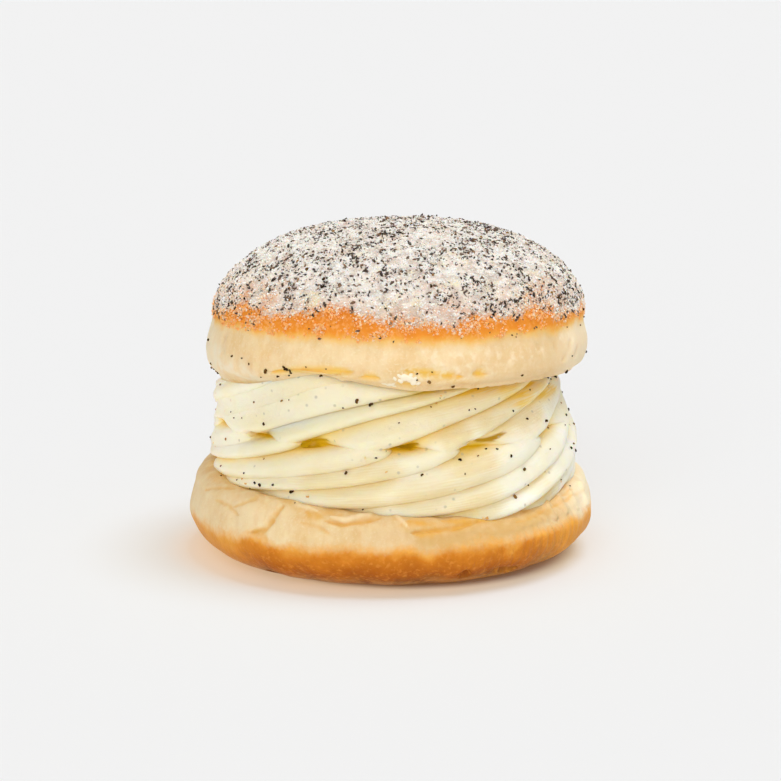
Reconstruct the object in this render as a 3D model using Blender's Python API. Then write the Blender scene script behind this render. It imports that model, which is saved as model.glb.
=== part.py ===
"""A cream doughnut: a fried yeast bun cut across, filled with two stacked rings of cream from a star
nozzle, and crusted on top with sugar and poppy seeds.

Metres, +Z up, the front of the bun towards -Y, the origin at the middle of the base.
"""

import math
import random

import bmesh
import bpy
from mathutils import Quaternion, Vector, noise

# The whole bun
CUT_GAP = 0.0003  # clearance between the cream and each half of the bun
SEGMENTS = 64  # points round each half of the bun
LUMP_SIZE = 0.0011  # how far the dough's own unevenness reaches
LUMPS_ACROSS = 1.6

# Bottom half
BASE_FLAT_RADIUS = 0.0300  # the spot that it stands on
BASE_POWER = 0.92  # under 1 gives the underside a fuller curve than an ellipse
BOTTOM_RADIUS = 0.0455  # at its widest
BOTTOM_WIDEST_HEIGHT = 0.0098
BOTTOM_RIM_INSET = 0.0013  # how far the side draws in below the rounded rim
BOTTOM_CUT_HEIGHT = 0.0182  # at the middle of the cut
BOTTOM_CUT_SLOPE = (-0.02, 0.06)  # rise of the cut for each metre to the right and to the back
BOTTOM_CUT_DIP = 0.0012  # how far the rim sinks under the cream at the front right
DIP_AZIMUTH = math.radians(38)  # right of the front
DIP_SPREAD = math.radians(27)
BOTTOM_EDGE_ROUND = 0.0036
BOTTOM_SEED = 3.0  # picks the unevenness of this half

# Top half
TOP_RADIUS = 0.0424
TOP_WIDEST_HEIGHT = 0.0462
TOP_CUT_HEIGHT = 0.0391
TOP_CUT_SLOPE = (0.025, -0.105)
TOP_SIDE_HEIGHT = 0.0196  # half height of the ellipse that the side follows below its widest ring
TOP_EDGE_ROUND = 0.0016
DOME_HEIGHT = 0.0268
DOME_POWER = 0.8  # under 1 gives the dome its full shoulders
CRUST_HEIGHT = 0.0522  # where the brown crust starts, drawn in a little by the frying
CRUST_WAIST = 0.0008
CRUST_WAIST_SPREAD = 0.0030
TOP_OFFSET_X = 0.0009
TOP_LEAN_X = 0.0022  # how much further right the crown lies than the widest ring
TOP_SEED = 11.0

# Cream
CREAM_RADIUS = 0.0392  # of the upper ring
CREAM_LOWER_SWELL = 0.0018  # how much further the lower ring of cream reaches
CREAM_UPPER_X = -0.0007
CREAM_LOWER_X = 0.0006
STRANDS = 13  # ridges that the star nozzle leaves round each ring
FRONT_GROOVES = (-46, -25, 7, 31, 61)  # degrees right of the front where a groove meets the crease
STRAND_SLOTS = (-1.0, -0.84, -0.5, 0.0, 0.5, 0.84)  # mesh columns across a strand, groove first
TIERS = 2
LOWER_TURN = math.radians(84)  # how far a strand winds round while it climbs the lower ring
UPPER_TURN = math.radians(66)
TURN_POWER = 1.35  # over 1 lays the strands flatter where the bun presses them
SECTION_ANGLES = [math.radians(a) for a in (-70, -58, -42, -22, 0, 22, 42, 58, 70)]
CREASE_SHARE = 0.64  # height of the crease between the rings, as a share of the cream's height
CREASE_SHARE_TILT = 0.06  # added to it at the back, and taken off at the front
LOBE_POWERS = (2.4, 0.6)  # a strand's section: flat on its back, steep into the grooves
GROOVE_DEPTH = 0.0017
GROOVE_SHARES = (0.75, 1.25)  # range of the grooves' depths
POCKET_DEPTH = 0.0030  # extra depth where a groove crosses the crease between the rings
CREASE_DEPTH = 0.0013
END_DEPTH = 0.0024  # how far the cream draws in where it meets the bun
DRAW_IN_POWER = 3  # keeps that, and the crease, close to the ring's edges
STRAND_REACH = 0.0006  # how much one strand may stand out from the next
STRAND_DRAW = 5  # picks which strands do
CREAM_LUMP_SIZE = 0.0009
CREAM_LUMPS_ACROSS = 1.3
CREAM_SEED = 23.0
CREAM_CAP_RADIUS = 0.024

# Poppy seeds
SEED_HALF_SIZE = (0.00072, 0.00052, 0.00048)
SEED_SIZES = (0.85, 1.15)  # range of the seeds' sizes
SEED_SINK = 0.25  # share of a seed's half thickness that lies under the surface
CROWN_SEEDS = 165
CROWN_SEED_GAP = 0.0038
CROWN_SEED_FLOOR = 0.0555
CREAM_SEEDS = 40
CREAM_SEED_GAP = 0.0062
CREAM_SEED_MARGIN = 0.0026  # kept between the seeds and the halves of the bun
SEED_DRAW = 17  # picks where the seeds fell
TRIES_FOR_EACH_SEED = 400
SHARP_ANGLE = math.radians(50)  # between faces: where a seed meets what it lies on


def clear_scene():
    for obj in list(bpy.data.objects):
        bpy.data.objects.remove(obj)


def food_material(name, colour, roughness):
    material = bpy.data.materials.new(name)
    material.use_nodes = True
    shader = material.node_tree.nodes["Principled BSDF"]
    shader.inputs["Base Color"].default_value = (*colour, 1.0)
    shader.inputs["Roughness"].default_value = roughness
    shader.inputs["Metallic"].default_value = 0.0
    return material


def bottom_cut_height(x, y):
    azimuth = math.atan2(x, -y)
    dip = BOTTOM_CUT_DIP * math.exp(-(((azimuth - DIP_AZIMUTH) / DIP_SPREAD) ** 2))
    dip *= (x * x + y * y) / BOTTOM_RADIUS**2
    return BOTTOM_CUT_HEIGHT + BOTTOM_CUT_SLOPE[0] * x + BOTTOM_CUT_SLOPE[1] * y - dip


def top_cut_height(x, y):
    return TOP_CUT_HEIGHT + TOP_CUT_SLOPE[0] * x + TOP_CUT_SLOPE[1] * y


def unevenness(angle, height, seed, size=LUMP_SIZE, lumps=LUMPS_ACROSS):
    """Smooth bumps of a hand-shaped bun: lumps is how many fit across it, size how far they reach."""
    place = Vector((math.cos(angle), math.sin(angle), height / BOTTOM_RADIUS))
    return size * noise.noise(place * lumps + Vector((seed, 0.0, 0.0)))


def ring(segments, point_at):
    return [point_at(2 * math.pi * i / segments) for i in range(segments)]


def lofted(name, rings, first_pole, last_pole):
    """A closed solid through rings of points, fanned to a pole at each end."""
    shape = bmesh.new()
    loops = [[shape.verts.new(point) for point in points] for points in rings]
    count = len(loops[0])
    for lower, upper in zip(loops, loops[1:]):
        for i in range(count):
            j = (i + 1) % count
            shape.faces.new((lower[i], lower[j], upper[j], upper[i]))
    low, high = shape.verts.new(first_pole), shape.verts.new(last_pole)
    for i in range(count):
        j = (i + 1) % count
        shape.faces.new((low, loops[0][j], loops[0][i]))
        shape.faces.new((high, loops[-1][i], loops[-1][j]))
    bmesh.ops.triangulate(shape, faces=shape.faces)
    mesh = bpy.data.meshes.new(name)
    shape.to_mesh(mesh)
    shape.free()
    mesh.shade_smooth()
    obj = bpy.data.objects.new(name, mesh)
    bpy.context.collection.objects.link(obj)
    return obj


def quarter(steps, first=0, last=90):
    """Angles in radians, evenly from first to last degrees."""
    return [math.radians(first + (last - first) * i / steps) for i in range(steps + 1)]


def bottom_bun():
    """A bowl of dough with a flat spot under it, a swelling side and a sloping cut face."""

    def side_radius(angle, height):
        return BOTTOM_RADIUS + unevenness(angle, height, BOTTOM_SEED)

    def base_point(turn):
        def at(angle):
            height = BOTTOM_WIDEST_HEIGHT * (1 - max(0.0, math.cos(turn)) ** BASE_POWER)
            reach = side_radius(angle, height) - BASE_FLAT_RADIUS
            radius = BASE_FLAT_RADIUS + reach * math.sin(turn) ** BASE_POWER
            return Vector((radius * math.cos(angle), radius * math.sin(angle), height))

        return at

    def cut_edge(angle):
        radius = side_radius(angle, BOTTOM_CUT_HEIGHT) - BOTTOM_RIM_INSET
        return radius, bottom_cut_height(radius * math.cos(angle), radius * math.sin(angle))

    def side_point(share):
        def at(angle):
            top = cut_edge(angle)[1] - BOTTOM_EDGE_ROUND
            height = BOTTOM_WIDEST_HEIGHT + (top - BOTTOM_WIDEST_HEIGHT) * share
            radius = side_radius(angle, height) - BOTTOM_RIM_INSET * share**2
            return Vector((radius * math.cos(angle), radius * math.sin(angle), height))

        return at

    def rim_point(turn):
        def at(angle):
            edge_radius, edge_height = cut_edge(angle)
            radius = edge_radius - BOTTOM_EDGE_ROUND * (1 - math.cos(turn))
            height = edge_height - BOTTOM_EDGE_ROUND * (1 - math.sin(turn))
            return Vector((radius * math.cos(angle), radius * math.sin(angle), height))

        return at

    def face_point(radius):
        def at(angle):
            x, y = radius * math.cos(angle), radius * math.sin(angle)
            return Vector((x, y, bottom_cut_height(x, y)))

        return at

    points_at = [base_point(turn) for turn in quarter(6)]
    points_at += [side_point(share) for share in (0.5, 1.0)]
    points_at += [rim_point(turn) for turn in quarter(4)[1:]]
    points_at += [face_point(CREAM_CAP_RADIUS)]
    rings = [ring(SEGMENTS, at) for at in points_at]
    middle = Vector((0, 0, BOTTOM_CUT_HEIGHT))
    bun = lofted("bottom_bun", rings, Vector((0, 0, 0)), middle)
    bun.data.materials.append(food_material("pale_dough", (0.86, 0.66, 0.38), 0.75))
    return bun


def top_bun():
    """The domed half: a sloping cut face, a pale side and a full crown that leans a little."""

    def centre_x(height):
        lift = max(0.0, height - TOP_WIDEST_HEIGHT) / DOME_HEIGHT
        return TOP_OFFSET_X + TOP_LEAN_X * lift

    def waist(height):
        return CRUST_WAIST * math.exp(-(((height - CRUST_HEIGHT) / CRUST_WAIST_SPREAD) ** 2))

    def point(radius, angle, height):
        return Vector((centre_x(height) + radius * math.cos(angle), radius * math.sin(angle), height))

    def side_radius(angle, height):
        drop = (TOP_WIDEST_HEIGHT - height) / TOP_SIDE_HEIGHT
        lumps = unevenness(angle, height, TOP_SEED)
        return TOP_RADIUS * math.sqrt(1 - drop * drop) + lumps - waist(height)

    def cut_edge(angle):
        height = top_cut_height(TOP_RADIUS * math.cos(angle), TOP_RADIUS * math.sin(angle))
        return side_radius(angle, height), height

    def face_point(radius):
        def at(angle):
            x, y = TOP_OFFSET_X + radius * math.cos(angle), radius * math.sin(angle)
            return Vector((x, y, top_cut_height(x, y)))

        return at

    def rim_point(turn):
        def at(angle):
            edge_radius, edge_height = cut_edge(angle)
            radius = edge_radius - TOP_EDGE_ROUND * (1 - math.sin(turn))
            x, y = TOP_OFFSET_X + radius * math.cos(angle), radius * math.sin(angle)
            return Vector((x, y, top_cut_height(x, y) + TOP_EDGE_ROUND * (1 - math.cos(turn))))

        return at

    def side_point(share):
        def at(angle):
            low = cut_edge(angle)[1] + TOP_EDGE_ROUND
            height = low + (TOP_WIDEST_HEIGHT - low) * share
            return point(side_radius(angle, height), angle, height)

        return at

    def dome_point(turn):
        def at(angle):
            height = TOP_WIDEST_HEIGHT + DOME_HEIGHT * math.sin(turn) ** DOME_POWER
            lumps = unevenness(angle, height, TOP_SEED) * math.cos(turn) - waist(height)
            return point(TOP_RADIUS * math.cos(turn) ** DOME_POWER + lumps, angle, height)

        return at

    points_at = [face_point(CREAM_CAP_RADIUS)]
    points_at += [rim_point(turn) for turn in quarter(3)]
    points_at += [side_point(share) for share in (0.35, 0.7, 1.0)]
    points_at += [dome_point(turn) for turn in quarter(10)[1:-1]]
    rings = [ring(SEGMENTS, at) for at in points_at]
    crown = point(0.0, 0.0, TOP_WIDEST_HEIGHT + DOME_HEIGHT)
    middle = Vector((TOP_OFFSET_X, 0, top_cut_height(TOP_OFFSET_X, 0)))
    bun = lofted("top_bun", rings, middle, crown)
    bun.data.materials.append(food_material("sugared_crust", (0.80, 0.72, 0.62), 0.8))
    return bun


def groove_angles():
    """Where each groove meets the crease: as seen at the front, and evenly spread round the back."""
    hidden = STRANDS - len(FRONT_GROOVES)
    last, first = FRONT_GROOVES[-1], FRONT_GROOVES[0] + 360
    spread = [last + (first - last) * (i + 1) / (hidden + 1) for i in range(hidden)]
    return [math.radians(azimuth - 90) for azimuth in (*FRONT_GROOVES, *spread)]


def cream_swirl():
    """Two stacked rings piped with a star nozzle. Each mesh column runs along a strand, up and round."""
    chance = random.Random(STRAND_DRAW)
    strand_reach = [chance.uniform(-STRAND_REACH, STRAND_REACH) for _ in range(STRANDS)]
    groove_share = [chance.uniform(*GROOVE_SHARES) for _ in range(STRANDS)]
    grooves = groove_angles()
    columns = [(strand, slot) for strand in range(STRANDS) for slot in STRAND_SLOTS]

    def lobe(slot):
        """0 in the groove, 1 on the strand's back."""
        return (1 - abs(slot) ** LOBE_POWERS[0]) ** LOBE_POWERS[1]

    def crease_angle(strand, slot):
        first = grooves[strand]
        following = grooves[(strand + 1) % STRANDS] + (2 * math.pi if strand == STRANDS - 1 else 0)
        return first + (following - first) * (slot + 1) / 2

    def column_point(strand, slot, tier, section):
        rise = 0.5 + 0.5 * math.sin(section) / math.sin(SECTION_ANGLES[-1])
        turn = UPPER_TURN * rise**TURN_POWER if tier else -LOWER_TURN * (1 - rise) ** TURN_POWER
        angle = crease_angle(strand, slot) + turn
        draw_in = (abs(section) / SECTION_ANGLES[-1]) ** DRAW_IN_POWER
        at_end = (tier == 0 and section < 0) or (tier == TIERS - 1 and section > 0)
        crease = CREASE_SHARE + CREASE_SHARE_TILT * math.sin(angle)
        share = crease + (1 - crease) * rise if tier else crease * rise
        radius = CREAM_RADIUS + CREAM_LOWER_SWELL * (1 - share)
        radius += strand_reach[strand] * lobe(slot)
        radius -= draw_in * (END_DEPTH if at_end else CREASE_DEPTH)
        pocket = 0.0 if at_end else POCKET_DEPTH * draw_in
        radius -= (1 - lobe(slot)) * (GROOVE_DEPTH + pocket) * groove_share[strand]
        height = share * TOP_CUT_HEIGHT
        radius += unevenness(angle, height, CREAM_SEED, CREAM_LUMP_SIZE, CREAM_LUMPS_ACROSS)
        x = radius * math.cos(angle) + CREAM_LOWER_X + (CREAM_UPPER_X - CREAM_LOWER_X) * share
        y = radius * math.sin(angle)
        low = bottom_cut_height(x, y) + CUT_GAP
        high = top_cut_height(x, y) - CUT_GAP
        return Vector((x, y, low + (high - low) * share))

    levels = [(tier, section) for tier in range(TIERS) for section in SECTION_ANGLES]
    levels = [level for level in levels if level != (0, SECTION_ANGLES[-1])]  # shared with the next tier
    rings = [[column_point(*column, *level) for column in columns] for level in levels]
    under = [crease_angle(*column) - LOWER_TURN for column in columns]
    spots = [(CREAM_CAP_RADIUS * math.cos(a), CREAM_CAP_RADIUS * math.sin(a)) for a in under]
    rings.insert(0, [Vector((x, y, bottom_cut_height(x, y) + CUT_GAP)) for x, y in spots])
    low = Vector((0, 0, BOTTOM_CUT_HEIGHT + CUT_GAP))
    high = Vector((0, 0, TOP_CUT_HEIGHT - CUT_GAP))
    cream = lofted("cream_swirl", rings, low, high)
    cream.data.materials.append(food_material("piped_cream", (0.93, 0.88, 0.66), 0.5))
    return cream


def scattered_places(obj, count, gap, allowed, chance):
    """Points and normals spread over an object's faces, none nearer to another than gap."""
    mesh = obj.data
    faces = [face for face in mesh.polygons if allowed(face.center)]
    areas = [face.area for face in faces]
    places = []
    tries = 0
    while len(places) < count and tries < TRIES_FOR_EACH_SEED * count:
        tries += 1
        face = chance.choices(faces, areas)[0]
        a, b, c = (mesh.vertices[v].co for v in face.vertices)
        u, v = chance.random(), chance.random()
        if u + v > 1:
            u, v = 1 - u, 1 - v
        spot = a + (b - a) * u + (c - a) * v
        if allowed(spot) and all((spot - other).length > gap for other, _ in places):
            places.append((spot, face.normal.copy()))
    return places


def turned_about_z(angle):
    return Quaternion((math.cos(angle / 2), 0, 0, math.sin(angle / 2)))


def fuse_seeds(obj, places, chance):
    """Poppy seeds, partly sunk at the given places, joined to the object by one Boolean union."""
    seeds = bpy.data.collections.new("seeds_on_" + obj.name)
    bpy.context.scene.collection.children.link(seeds)
    for spot, normal in places:
        shape = bmesh.new()
        bmesh.ops.create_icosphere(shape, subdivisions=1, radius=1.0)
        size = chance.uniform(*SEED_SIZES)
        bmesh.ops.scale(shape, vec=[half * size for half in SEED_HALF_SIZE], verts=shape.verts)
        mesh = bpy.data.meshes.new("poppy_seed")
        shape.to_mesh(mesh)
        shape.free()
        seed = bpy.data.objects.new("poppy_seed", mesh)
        seed.rotation_mode = "QUATERNION"
        spin = turned_about_z(chance.uniform(0, 2 * math.pi))
        seed.rotation_quaternion = normal.to_track_quat("Z", "Y") @ spin
        seed.location = spot + normal * SEED_HALF_SIZE[2] * (1 - SEED_SINK)
        seeds.objects.link(seed)
    union = obj.modifiers.new("seeds", "BOOLEAN")
    union.operation = "UNION"
    union.operand_type = "COLLECTION"
    union.collection = seeds
    union.solver = "EXACT"
    bpy.context.view_layer.objects.active = obj
    bpy.ops.object.modifier_apply(modifier=union.name)
    for seed in list(seeds.objects):
        bpy.data.objects.remove(seed)
    bpy.data.collections.remove(seeds)
    obj.data.set_sharp_from_angle(angle=SHARP_ANGLE)


def main():
    clear_scene()
    bottom_bun()
    cream = cream_swirl()
    top = top_bun()

    chance = random.Random(SEED_DRAW)

    def on_crown(point):
        return point.z > CROWN_SEED_FLOOR

    def on_cream_side(point):
        low = bottom_cut_height(point.x, point.y) + CREAM_SEED_MARGIN
        high = top_cut_height(point.x, point.y) - CREAM_SEED_MARGIN
        return low < point.z < high

    fuse_seeds(top, scattered_places(top, CROWN_SEEDS, CROWN_SEED_GAP, on_crown, chance), chance)
    fuse_seeds(cream, scattered_places(cream, CREAM_SEEDS, CREAM_SEED_GAP, on_cream_side, chance), chance)


main()
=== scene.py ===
"""The looks of a cream doughnut: a fried yeast bun cut across, filled with cream from a star nozzle, and
crusted on top with sugar and ground poppy seeds. Metres, +Z up, the front towards -Y.
"""

import math
import random
from functools import partial
from typing import NamedTuple

import bpy
import numpy as np
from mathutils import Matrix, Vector, noise
from mathutils.bvhtree import BVHTree


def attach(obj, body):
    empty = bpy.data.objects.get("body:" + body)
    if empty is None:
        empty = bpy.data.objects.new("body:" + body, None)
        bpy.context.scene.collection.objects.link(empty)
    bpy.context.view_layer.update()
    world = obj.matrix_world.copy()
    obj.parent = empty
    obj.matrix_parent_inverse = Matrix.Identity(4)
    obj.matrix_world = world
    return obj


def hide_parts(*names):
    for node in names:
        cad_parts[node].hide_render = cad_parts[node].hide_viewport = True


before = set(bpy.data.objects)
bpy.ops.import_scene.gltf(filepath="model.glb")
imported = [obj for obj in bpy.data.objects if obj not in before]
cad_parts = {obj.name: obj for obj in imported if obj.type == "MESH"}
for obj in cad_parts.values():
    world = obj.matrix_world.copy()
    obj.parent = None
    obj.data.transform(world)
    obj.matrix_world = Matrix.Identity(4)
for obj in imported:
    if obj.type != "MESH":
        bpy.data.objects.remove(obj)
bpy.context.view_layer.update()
bpy.ops.object.select_all(action="DESELECT")


# The view and the studio. A long lens half a metre away looks down a little at a doughnut on a wide
# white table. A soft lamp overhead, a touch to the right, lights the sugar, a low one by the camera fills
# the front, and warm light from all round and faintly through the table keeps the shadows light.

PHOTO_SIDE = 781  # pixels
PHOTO_WIDTH = 0.1740  # what the frame spans at the doughnut
CAMERA_DISTANCE = 0.5
CAMERA_RISE = math.radians(11)
AIM = Vector((0, 0, 0.0352))
TABLE_SIZE = 30.0
TABLE_DROP = 0.00002  # keeps the table just under the base
TABLE_BRIGHTNESS = 0.887  # how bright the table and the background come out
TABLE_GLOW = (0.46, 0.33, 0.20)  # the share of it that shines up through the table
BOUNCE_SHIFT = (0.006, 0.0, 0.0)  # painted bounce light: beside the doughnut the glow is warm, more so on the left
BOUNCE_STOPS = (0.0360, 0.0470)
SHADOW_SHIFT = (-0.004, 0.0, 0.0)  # painted shadow: under it the table's glow is dark, more so on the right
SHADOW_STOPS = (0.0335, 0.0385)
SHADOW_GLOW = (0.16, 0.06, 0.01, 1)
BOUNCE_GLOW = (0.55, 0.36, 0.20)
AMBIENT = (0.49, 0.47, 0.43)
OVERHEAD_LAMP = {"rise": 74, "side": 90, "power": 1.41, "softness": 30}
FRONT_LAMP = {"rise": 23, "side": -9, "power": 1.12, "softness": 40}

camera_back = Vector((0, -math.cos(CAMERA_RISE), math.sin(CAMERA_RISE)))
camera_up = Vector((0, math.sin(CAMERA_RISE), math.cos(CAMERA_RISE)))
bpy.ops.object.camera_add(
    location=AIM + camera_back * CAMERA_DISTANCE, rotation=(math.pi / 2 - CAMERA_RISE, 0, 0)
)
camera = bpy.context.object
camera.data.lens = camera.data.sensor_width * CAMERA_DISTANCE / PHOTO_WIDTH
camera.data.clip_start = 0.01
bpy.context.scene.camera = camera
bpy.context.scene.view_settings.view_transform = "Standard"


def sun(name, rise, side, power, softness):
    """A lamp so far off that it lights the whole table alike: side is degrees right of the camera."""
    turn = (math.pi / 2 - math.radians(rise), 0, math.radians(side))
    bpy.ops.object.light_add(type="SUN", rotation=turn)
    lamp = bpy.context.object
    lamp.name = name
    lamp.data.energy = power
    lamp.data.angle = math.radians(softness)


sun("overhead_lamp", **OVERHEAD_LAMP)
sun("front_lamp", **FRONT_LAMP)


class Wire:
    """A value in a material: sums on it add Math nodes, and node() adds a node of any other kind."""

    def __init__(self, tree, socket=None):
        self.tree = tree
        self.socket = socket

    def node(self, kind, inputs=(), output=0, stops=(), **settings):
        """Adds a node: its settings and its ramp's stops first, then its sockets' values or wires."""
        made = self.tree.nodes.new("ShaderNode" + kind)
        for name, value in settings.items():
            setattr(made, name, value)
        if stops:
            colours = made.color_ramp.elements
            for position, _ in stops[1:-1]:
                colours.new(position)
            colours[0].position, colours[-1].position = stops[0][0], stops[-1][0]
            for element, (_, colour) in zip(colours, stops):
                element.color = colour
        for name, value in dict(inputs).items():
            if isinstance(value, Wire):
                self.tree.links.new(value.socket, made.inputs[name])
            else:
                made.inputs[name].default_value = value
        return Wire(self.tree, made.outputs[output])

    def math(self, operation, first, second):
        return self.node("Math", {0: first, 1: second}, operation=operation)

    def __add__(self, other):
        return self.math("ADD", self, other)

    __radd__ = __add__

    def __sub__(self, other):
        return self.math("SUBTRACT", self, other)

    def __rsub__(self, other):
        return self.math("SUBTRACT", other, self)

    def __mul__(self, other):
        return self.math("MULTIPLY", self, other)

    __rmul__ = __mul__

    def rising(self, low, high):
        """0 where this value is under low, 1 over high, and smooth between."""
        inputs = {"Value": self, "From Min": low, "From Max": high}
        return self.node("MapRange", inputs, interpolation_type="SMOOTHSTEP")

    def blend(self, first, second):
        """The first colour where this value is 0, and the second where it is 1."""
        return self.node("Mix", {0: self, 6: first, 7: second}, output=2, data_type="RGBA")

    def ramp(self, *stops):
        """The colours of the stops, one after another as this value rises."""
        return self.node("ValToRGB", {0: self}, stops=stops)

    def bumps(self, depth):
        """The surface's direction where this value roughens it by up to the depth."""
        return self.node("Bump", {"Height": self, "Distance": depth, "Strength": 1.0})

    def place(self):
        """Each point's place on its piece, in metres."""
        return self.node("TexCoord", output="Object")

    def axis(self, letter):
        """A place's distance along one axis."""
        return self.node("SeparateXYZ", {0: self}, output=letter)

    def mark(self, name):
        """What a piece's points keep under a name."""
        return self.node("Attribute", output="Fac", attribute_name=name)


def paint(code):
    """A colour as a screen shows it, in hex, turned into the linear values that materials take."""
    shares = [int(code[i : i + 2], 16) / 255 for i in (0, 2, 4)]
    linear = [((c + 0.055) / 1.055) ** 2.4 if c > 0.04045 else c / 12.92 for c in shares]
    return (*linear, 1.0)


world = bpy.data.worlds.new("studio")
bpy.context.scene.world = world
world.use_nodes = True
world_start = Wire(world.node_tree)
background = world.node_tree.nodes["Background"]
seen = world_start.node("LightPath", output="Is Camera Ray")
sky = seen.blend((*AMBIENT, 1), (TABLE_BRIGHTNESS, TABLE_BRIGHTNESS, TABLE_BRIGHTNESS, 1))
world.node_tree.links.new(sky.socket, background.inputs["Color"])


def new_finish(name, fixed):
    """A material with one shader, and fixed as the values that are the same all over it."""
    material = bpy.data.materials.new(name)
    material.use_nodes = True
    shader = material.node_tree.nodes["Principled BSDF"]
    for socket, value in fixed.items():
        shader.inputs[socket].default_value = value
    return material, Wire(material.node_tree), shader


def feed(shader, wires):
    """Joins wires to the shader's sockets that vary over the surface."""
    for socket, wire in wires.items():
        wire.tree.links.new(wire.socket, shader.inputs[socket])


bpy.ops.mesh.primitive_plane_add(size=TABLE_SIZE, location=(0, 0, -TABLE_DROP))
table = bpy.context.object
table.name = "table"
lamps = (OVERHEAD_LAMP, FRONT_LAMP)
lamp_light = sum(lamp["power"] * math.sin(math.radians(lamp["rise"])) for lamp in lamps) / math.pi
table_colour = [(TABLE_BRIGHTNESS - glow) / (lamp_light + dim) for glow, dim in zip(TABLE_GLOW, AMBIENT)]
table_finish, start, shader = new_finish(
    "lit_white_table",
    {
        "Base Color": (*table_colour, 1),
        "Roughness": 1.0,
        "Specular IOR Level": 0.0,
        "Emission Strength": 1.0,
    },
)
place = start.place()


def reach_from(shift):
    """How far each point of the table is from its middle once that is shifted."""
    shifted = start.node("VectorMath", {0: place, 1: shift}, output=0, operation="ADD")
    return start.node("VectorMath", {0: shifted}, output="Value", operation="LENGTH")


# Painted light and shade on the table: a warm glow beside the doughnut stands for the light its crust
# throws back, and a dark one under it for its shadow.
glow = reach_from(BOUNCE_SHIFT).rising(*BOUNCE_STOPS).blend((*BOUNCE_GLOW, 1), (*TABLE_GLOW, 1))
feed(shader, {"Emission Color": reach_from(SHADOW_SHIFT).rising(*SHADOW_STOPS).blend(SHADOW_GLOW, glow)})
table.data.materials.append(table_finish)


# The lower half of the bun: yeast dough, fried on its base first, so it is brown below, pale where it
# floated, and cut flat across the top. It is drawn up as a round form and then pressed out of true.

LOWER_SEGMENTS = 144
SMOOTHING = 2  # times that each bun's mesh is divided
MERGE_REACH = 1e-6  # points nearer than this are one
BASE_FLAT_RADIUS = 0.0300
BASE_INNER_RADIUS = 0.0240
BASE_POWER = 0.92
LOWER_RADIUS = 0.0455
LOWER_WIDEST_HEIGHT = 0.0098
LOWER_RIM_INSET = 0.0013
LOWER_CUT_HEIGHT = 0.0182
LOWER_CUT_SLOPE = (-0.02, 0.06)
LOWER_CUT_WAVES = ((40, 28, -0.0020), (-34, 28, 0.0012))  # azimuth and spread in degrees, and rise
LOWER_EDGE_ROUND = 0.0036
LOWER_SEED = 3.0
LUMP_SIZE = 0.0011
LUMPS_ACROSS = 1.6
DENT_SIZE = 0.00045  # smaller dents between the lumps
DENTS_ACROSS = 7.0
BASE_DENT_SIZE = 0.0011  # how uneven the edge of the base is
BASE_DENTS_ACROSS = 4.5
BASE_EDGE_HEIGHT = 0.003  # below this it is most uneven
RIM_WAVE = 0.0006  # how ragged the cut rim is
RIM_WAVES_ACROSS = 5.0
WAVERS_ACROSS = 700.0  # how closely the sides of folds and films waver
LINE_END_WIDTH = 0.25  # the share of a line's width that is left at its ends
LEAST_NEAR = 0.03  # where a line is less near than this, its side is not wavered
FILM_RISE = 0.0009  # a film of cream and dough lies round the foot of the cream
FILM_RADIUS = 0.0402
FILM_SPREAD = 0.0021
FILM_SHARE = 0.6  # how much it colours the dough all round
FILM_FRONT = (-12, 48)  # where it is thick, as azimuth and spread in degrees
FILM_LEAST = 0.35  # its thickness elsewhere, for that at the front
FILM_LUMPS = 0.5  # how lumpy it is
FILM_LUMPS_ACROSS = 260.0
PLEAT_DEPTH = 0.00042  # upright pleats in the crust where the dough was pinched
PLEATS_ROUND = 104
PLEAT_WANDER = 3.4  # how far they stray
PLEAT_BENDS = (5, 60)  # and how closely they bend, round the bun and up it
PLEAT_LEVEL = 0.6  # the share of a pleat that lies inside the bun's side
PLEATED = ((52, 20), (-150, 35))  # where they are, as azimuth and spread in degrees


def swell(azimuth, middle, spread, power=2):
    """1 at the middle azimuth and 0 well beyond its spread, both in degrees."""
    apart = math.remainder(azimuth - math.radians(middle), 2 * math.pi) / math.radians(spread)
    return math.exp(-(apart**power))


def with_waves(height, azimuth, waves, share=1.0):
    """A height with the waves of an edge added to it."""
    for middle, spread, rise in waves:
        height += rise * swell(azimuth, middle, spread) * share
    return height


def lower_cut_height(x, y):
    height = LOWER_CUT_HEIGHT + LOWER_CUT_SLOPE[0] * x + LOWER_CUT_SLOPE[1] * y
    return with_waves(height, math.atan2(x, -y), LOWER_CUT_WAVES, (x * x + y * y) / LOWER_RADIUS**2)


def unevenness(angle, height, seed, size=LUMP_SIZE, across=LUMPS_ACROSS):
    """Smooth bumps of a hand-shaped bun: across is how many fit its width, size how far they reach."""
    place = Vector((math.cos(angle), math.sin(angle), height / LOWER_RADIUS))
    return size * noise.noise(place * across + Vector((seed, 0.0, 0.0)))


def between(value, low, high):
    """0 under low, 1 over high, and smooth between."""
    share = min(1.0, max(0.0, (value - low) / (high - low)))
    return share * share * (3 - 2 * share)


def quarter(steps):
    return [math.pi / 2 * i / steps for i in range(steps + 1)]


def turned(name, outline, segments):
    """A closed round form: a grid is rolled up, each of its rows to a radius and height of the outline,
    and its seam and its ends are drawn together. Its faces come in the same order each run, which the
    things strewn over it by chance rely on.
    """
    rows = [(0.0, outline[0][1]), *outline, (0.0, outline[-1][1])]
    steps = len(rows) - 1
    bpy.ops.mesh.primitive_grid_add(x_subdivisions=segments, y_subdivisions=steps, size=1)
    piece = bpy.context.object
    piece.name = name
    for vertex in piece.data.vertices:
        angle = 2 * math.pi * round((vertex.co.x + 0.5) * segments) / segments
        radius, height = rows[round((vertex.co.y + 0.5) * steps)]
        vertex.co = (radius * math.cos(angle), radius * math.sin(angle), height)
    bpy.ops.object.mode_set(mode="EDIT")
    bpy.ops.mesh.select_all(action="SELECT")
    bpy.ops.mesh.remove_doubles(threshold=MERGE_REACH)
    bpy.ops.mesh.normals_make_consistent(inside=False)
    bpy.ops.object.mode_set(mode="OBJECT")
    return piece


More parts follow.
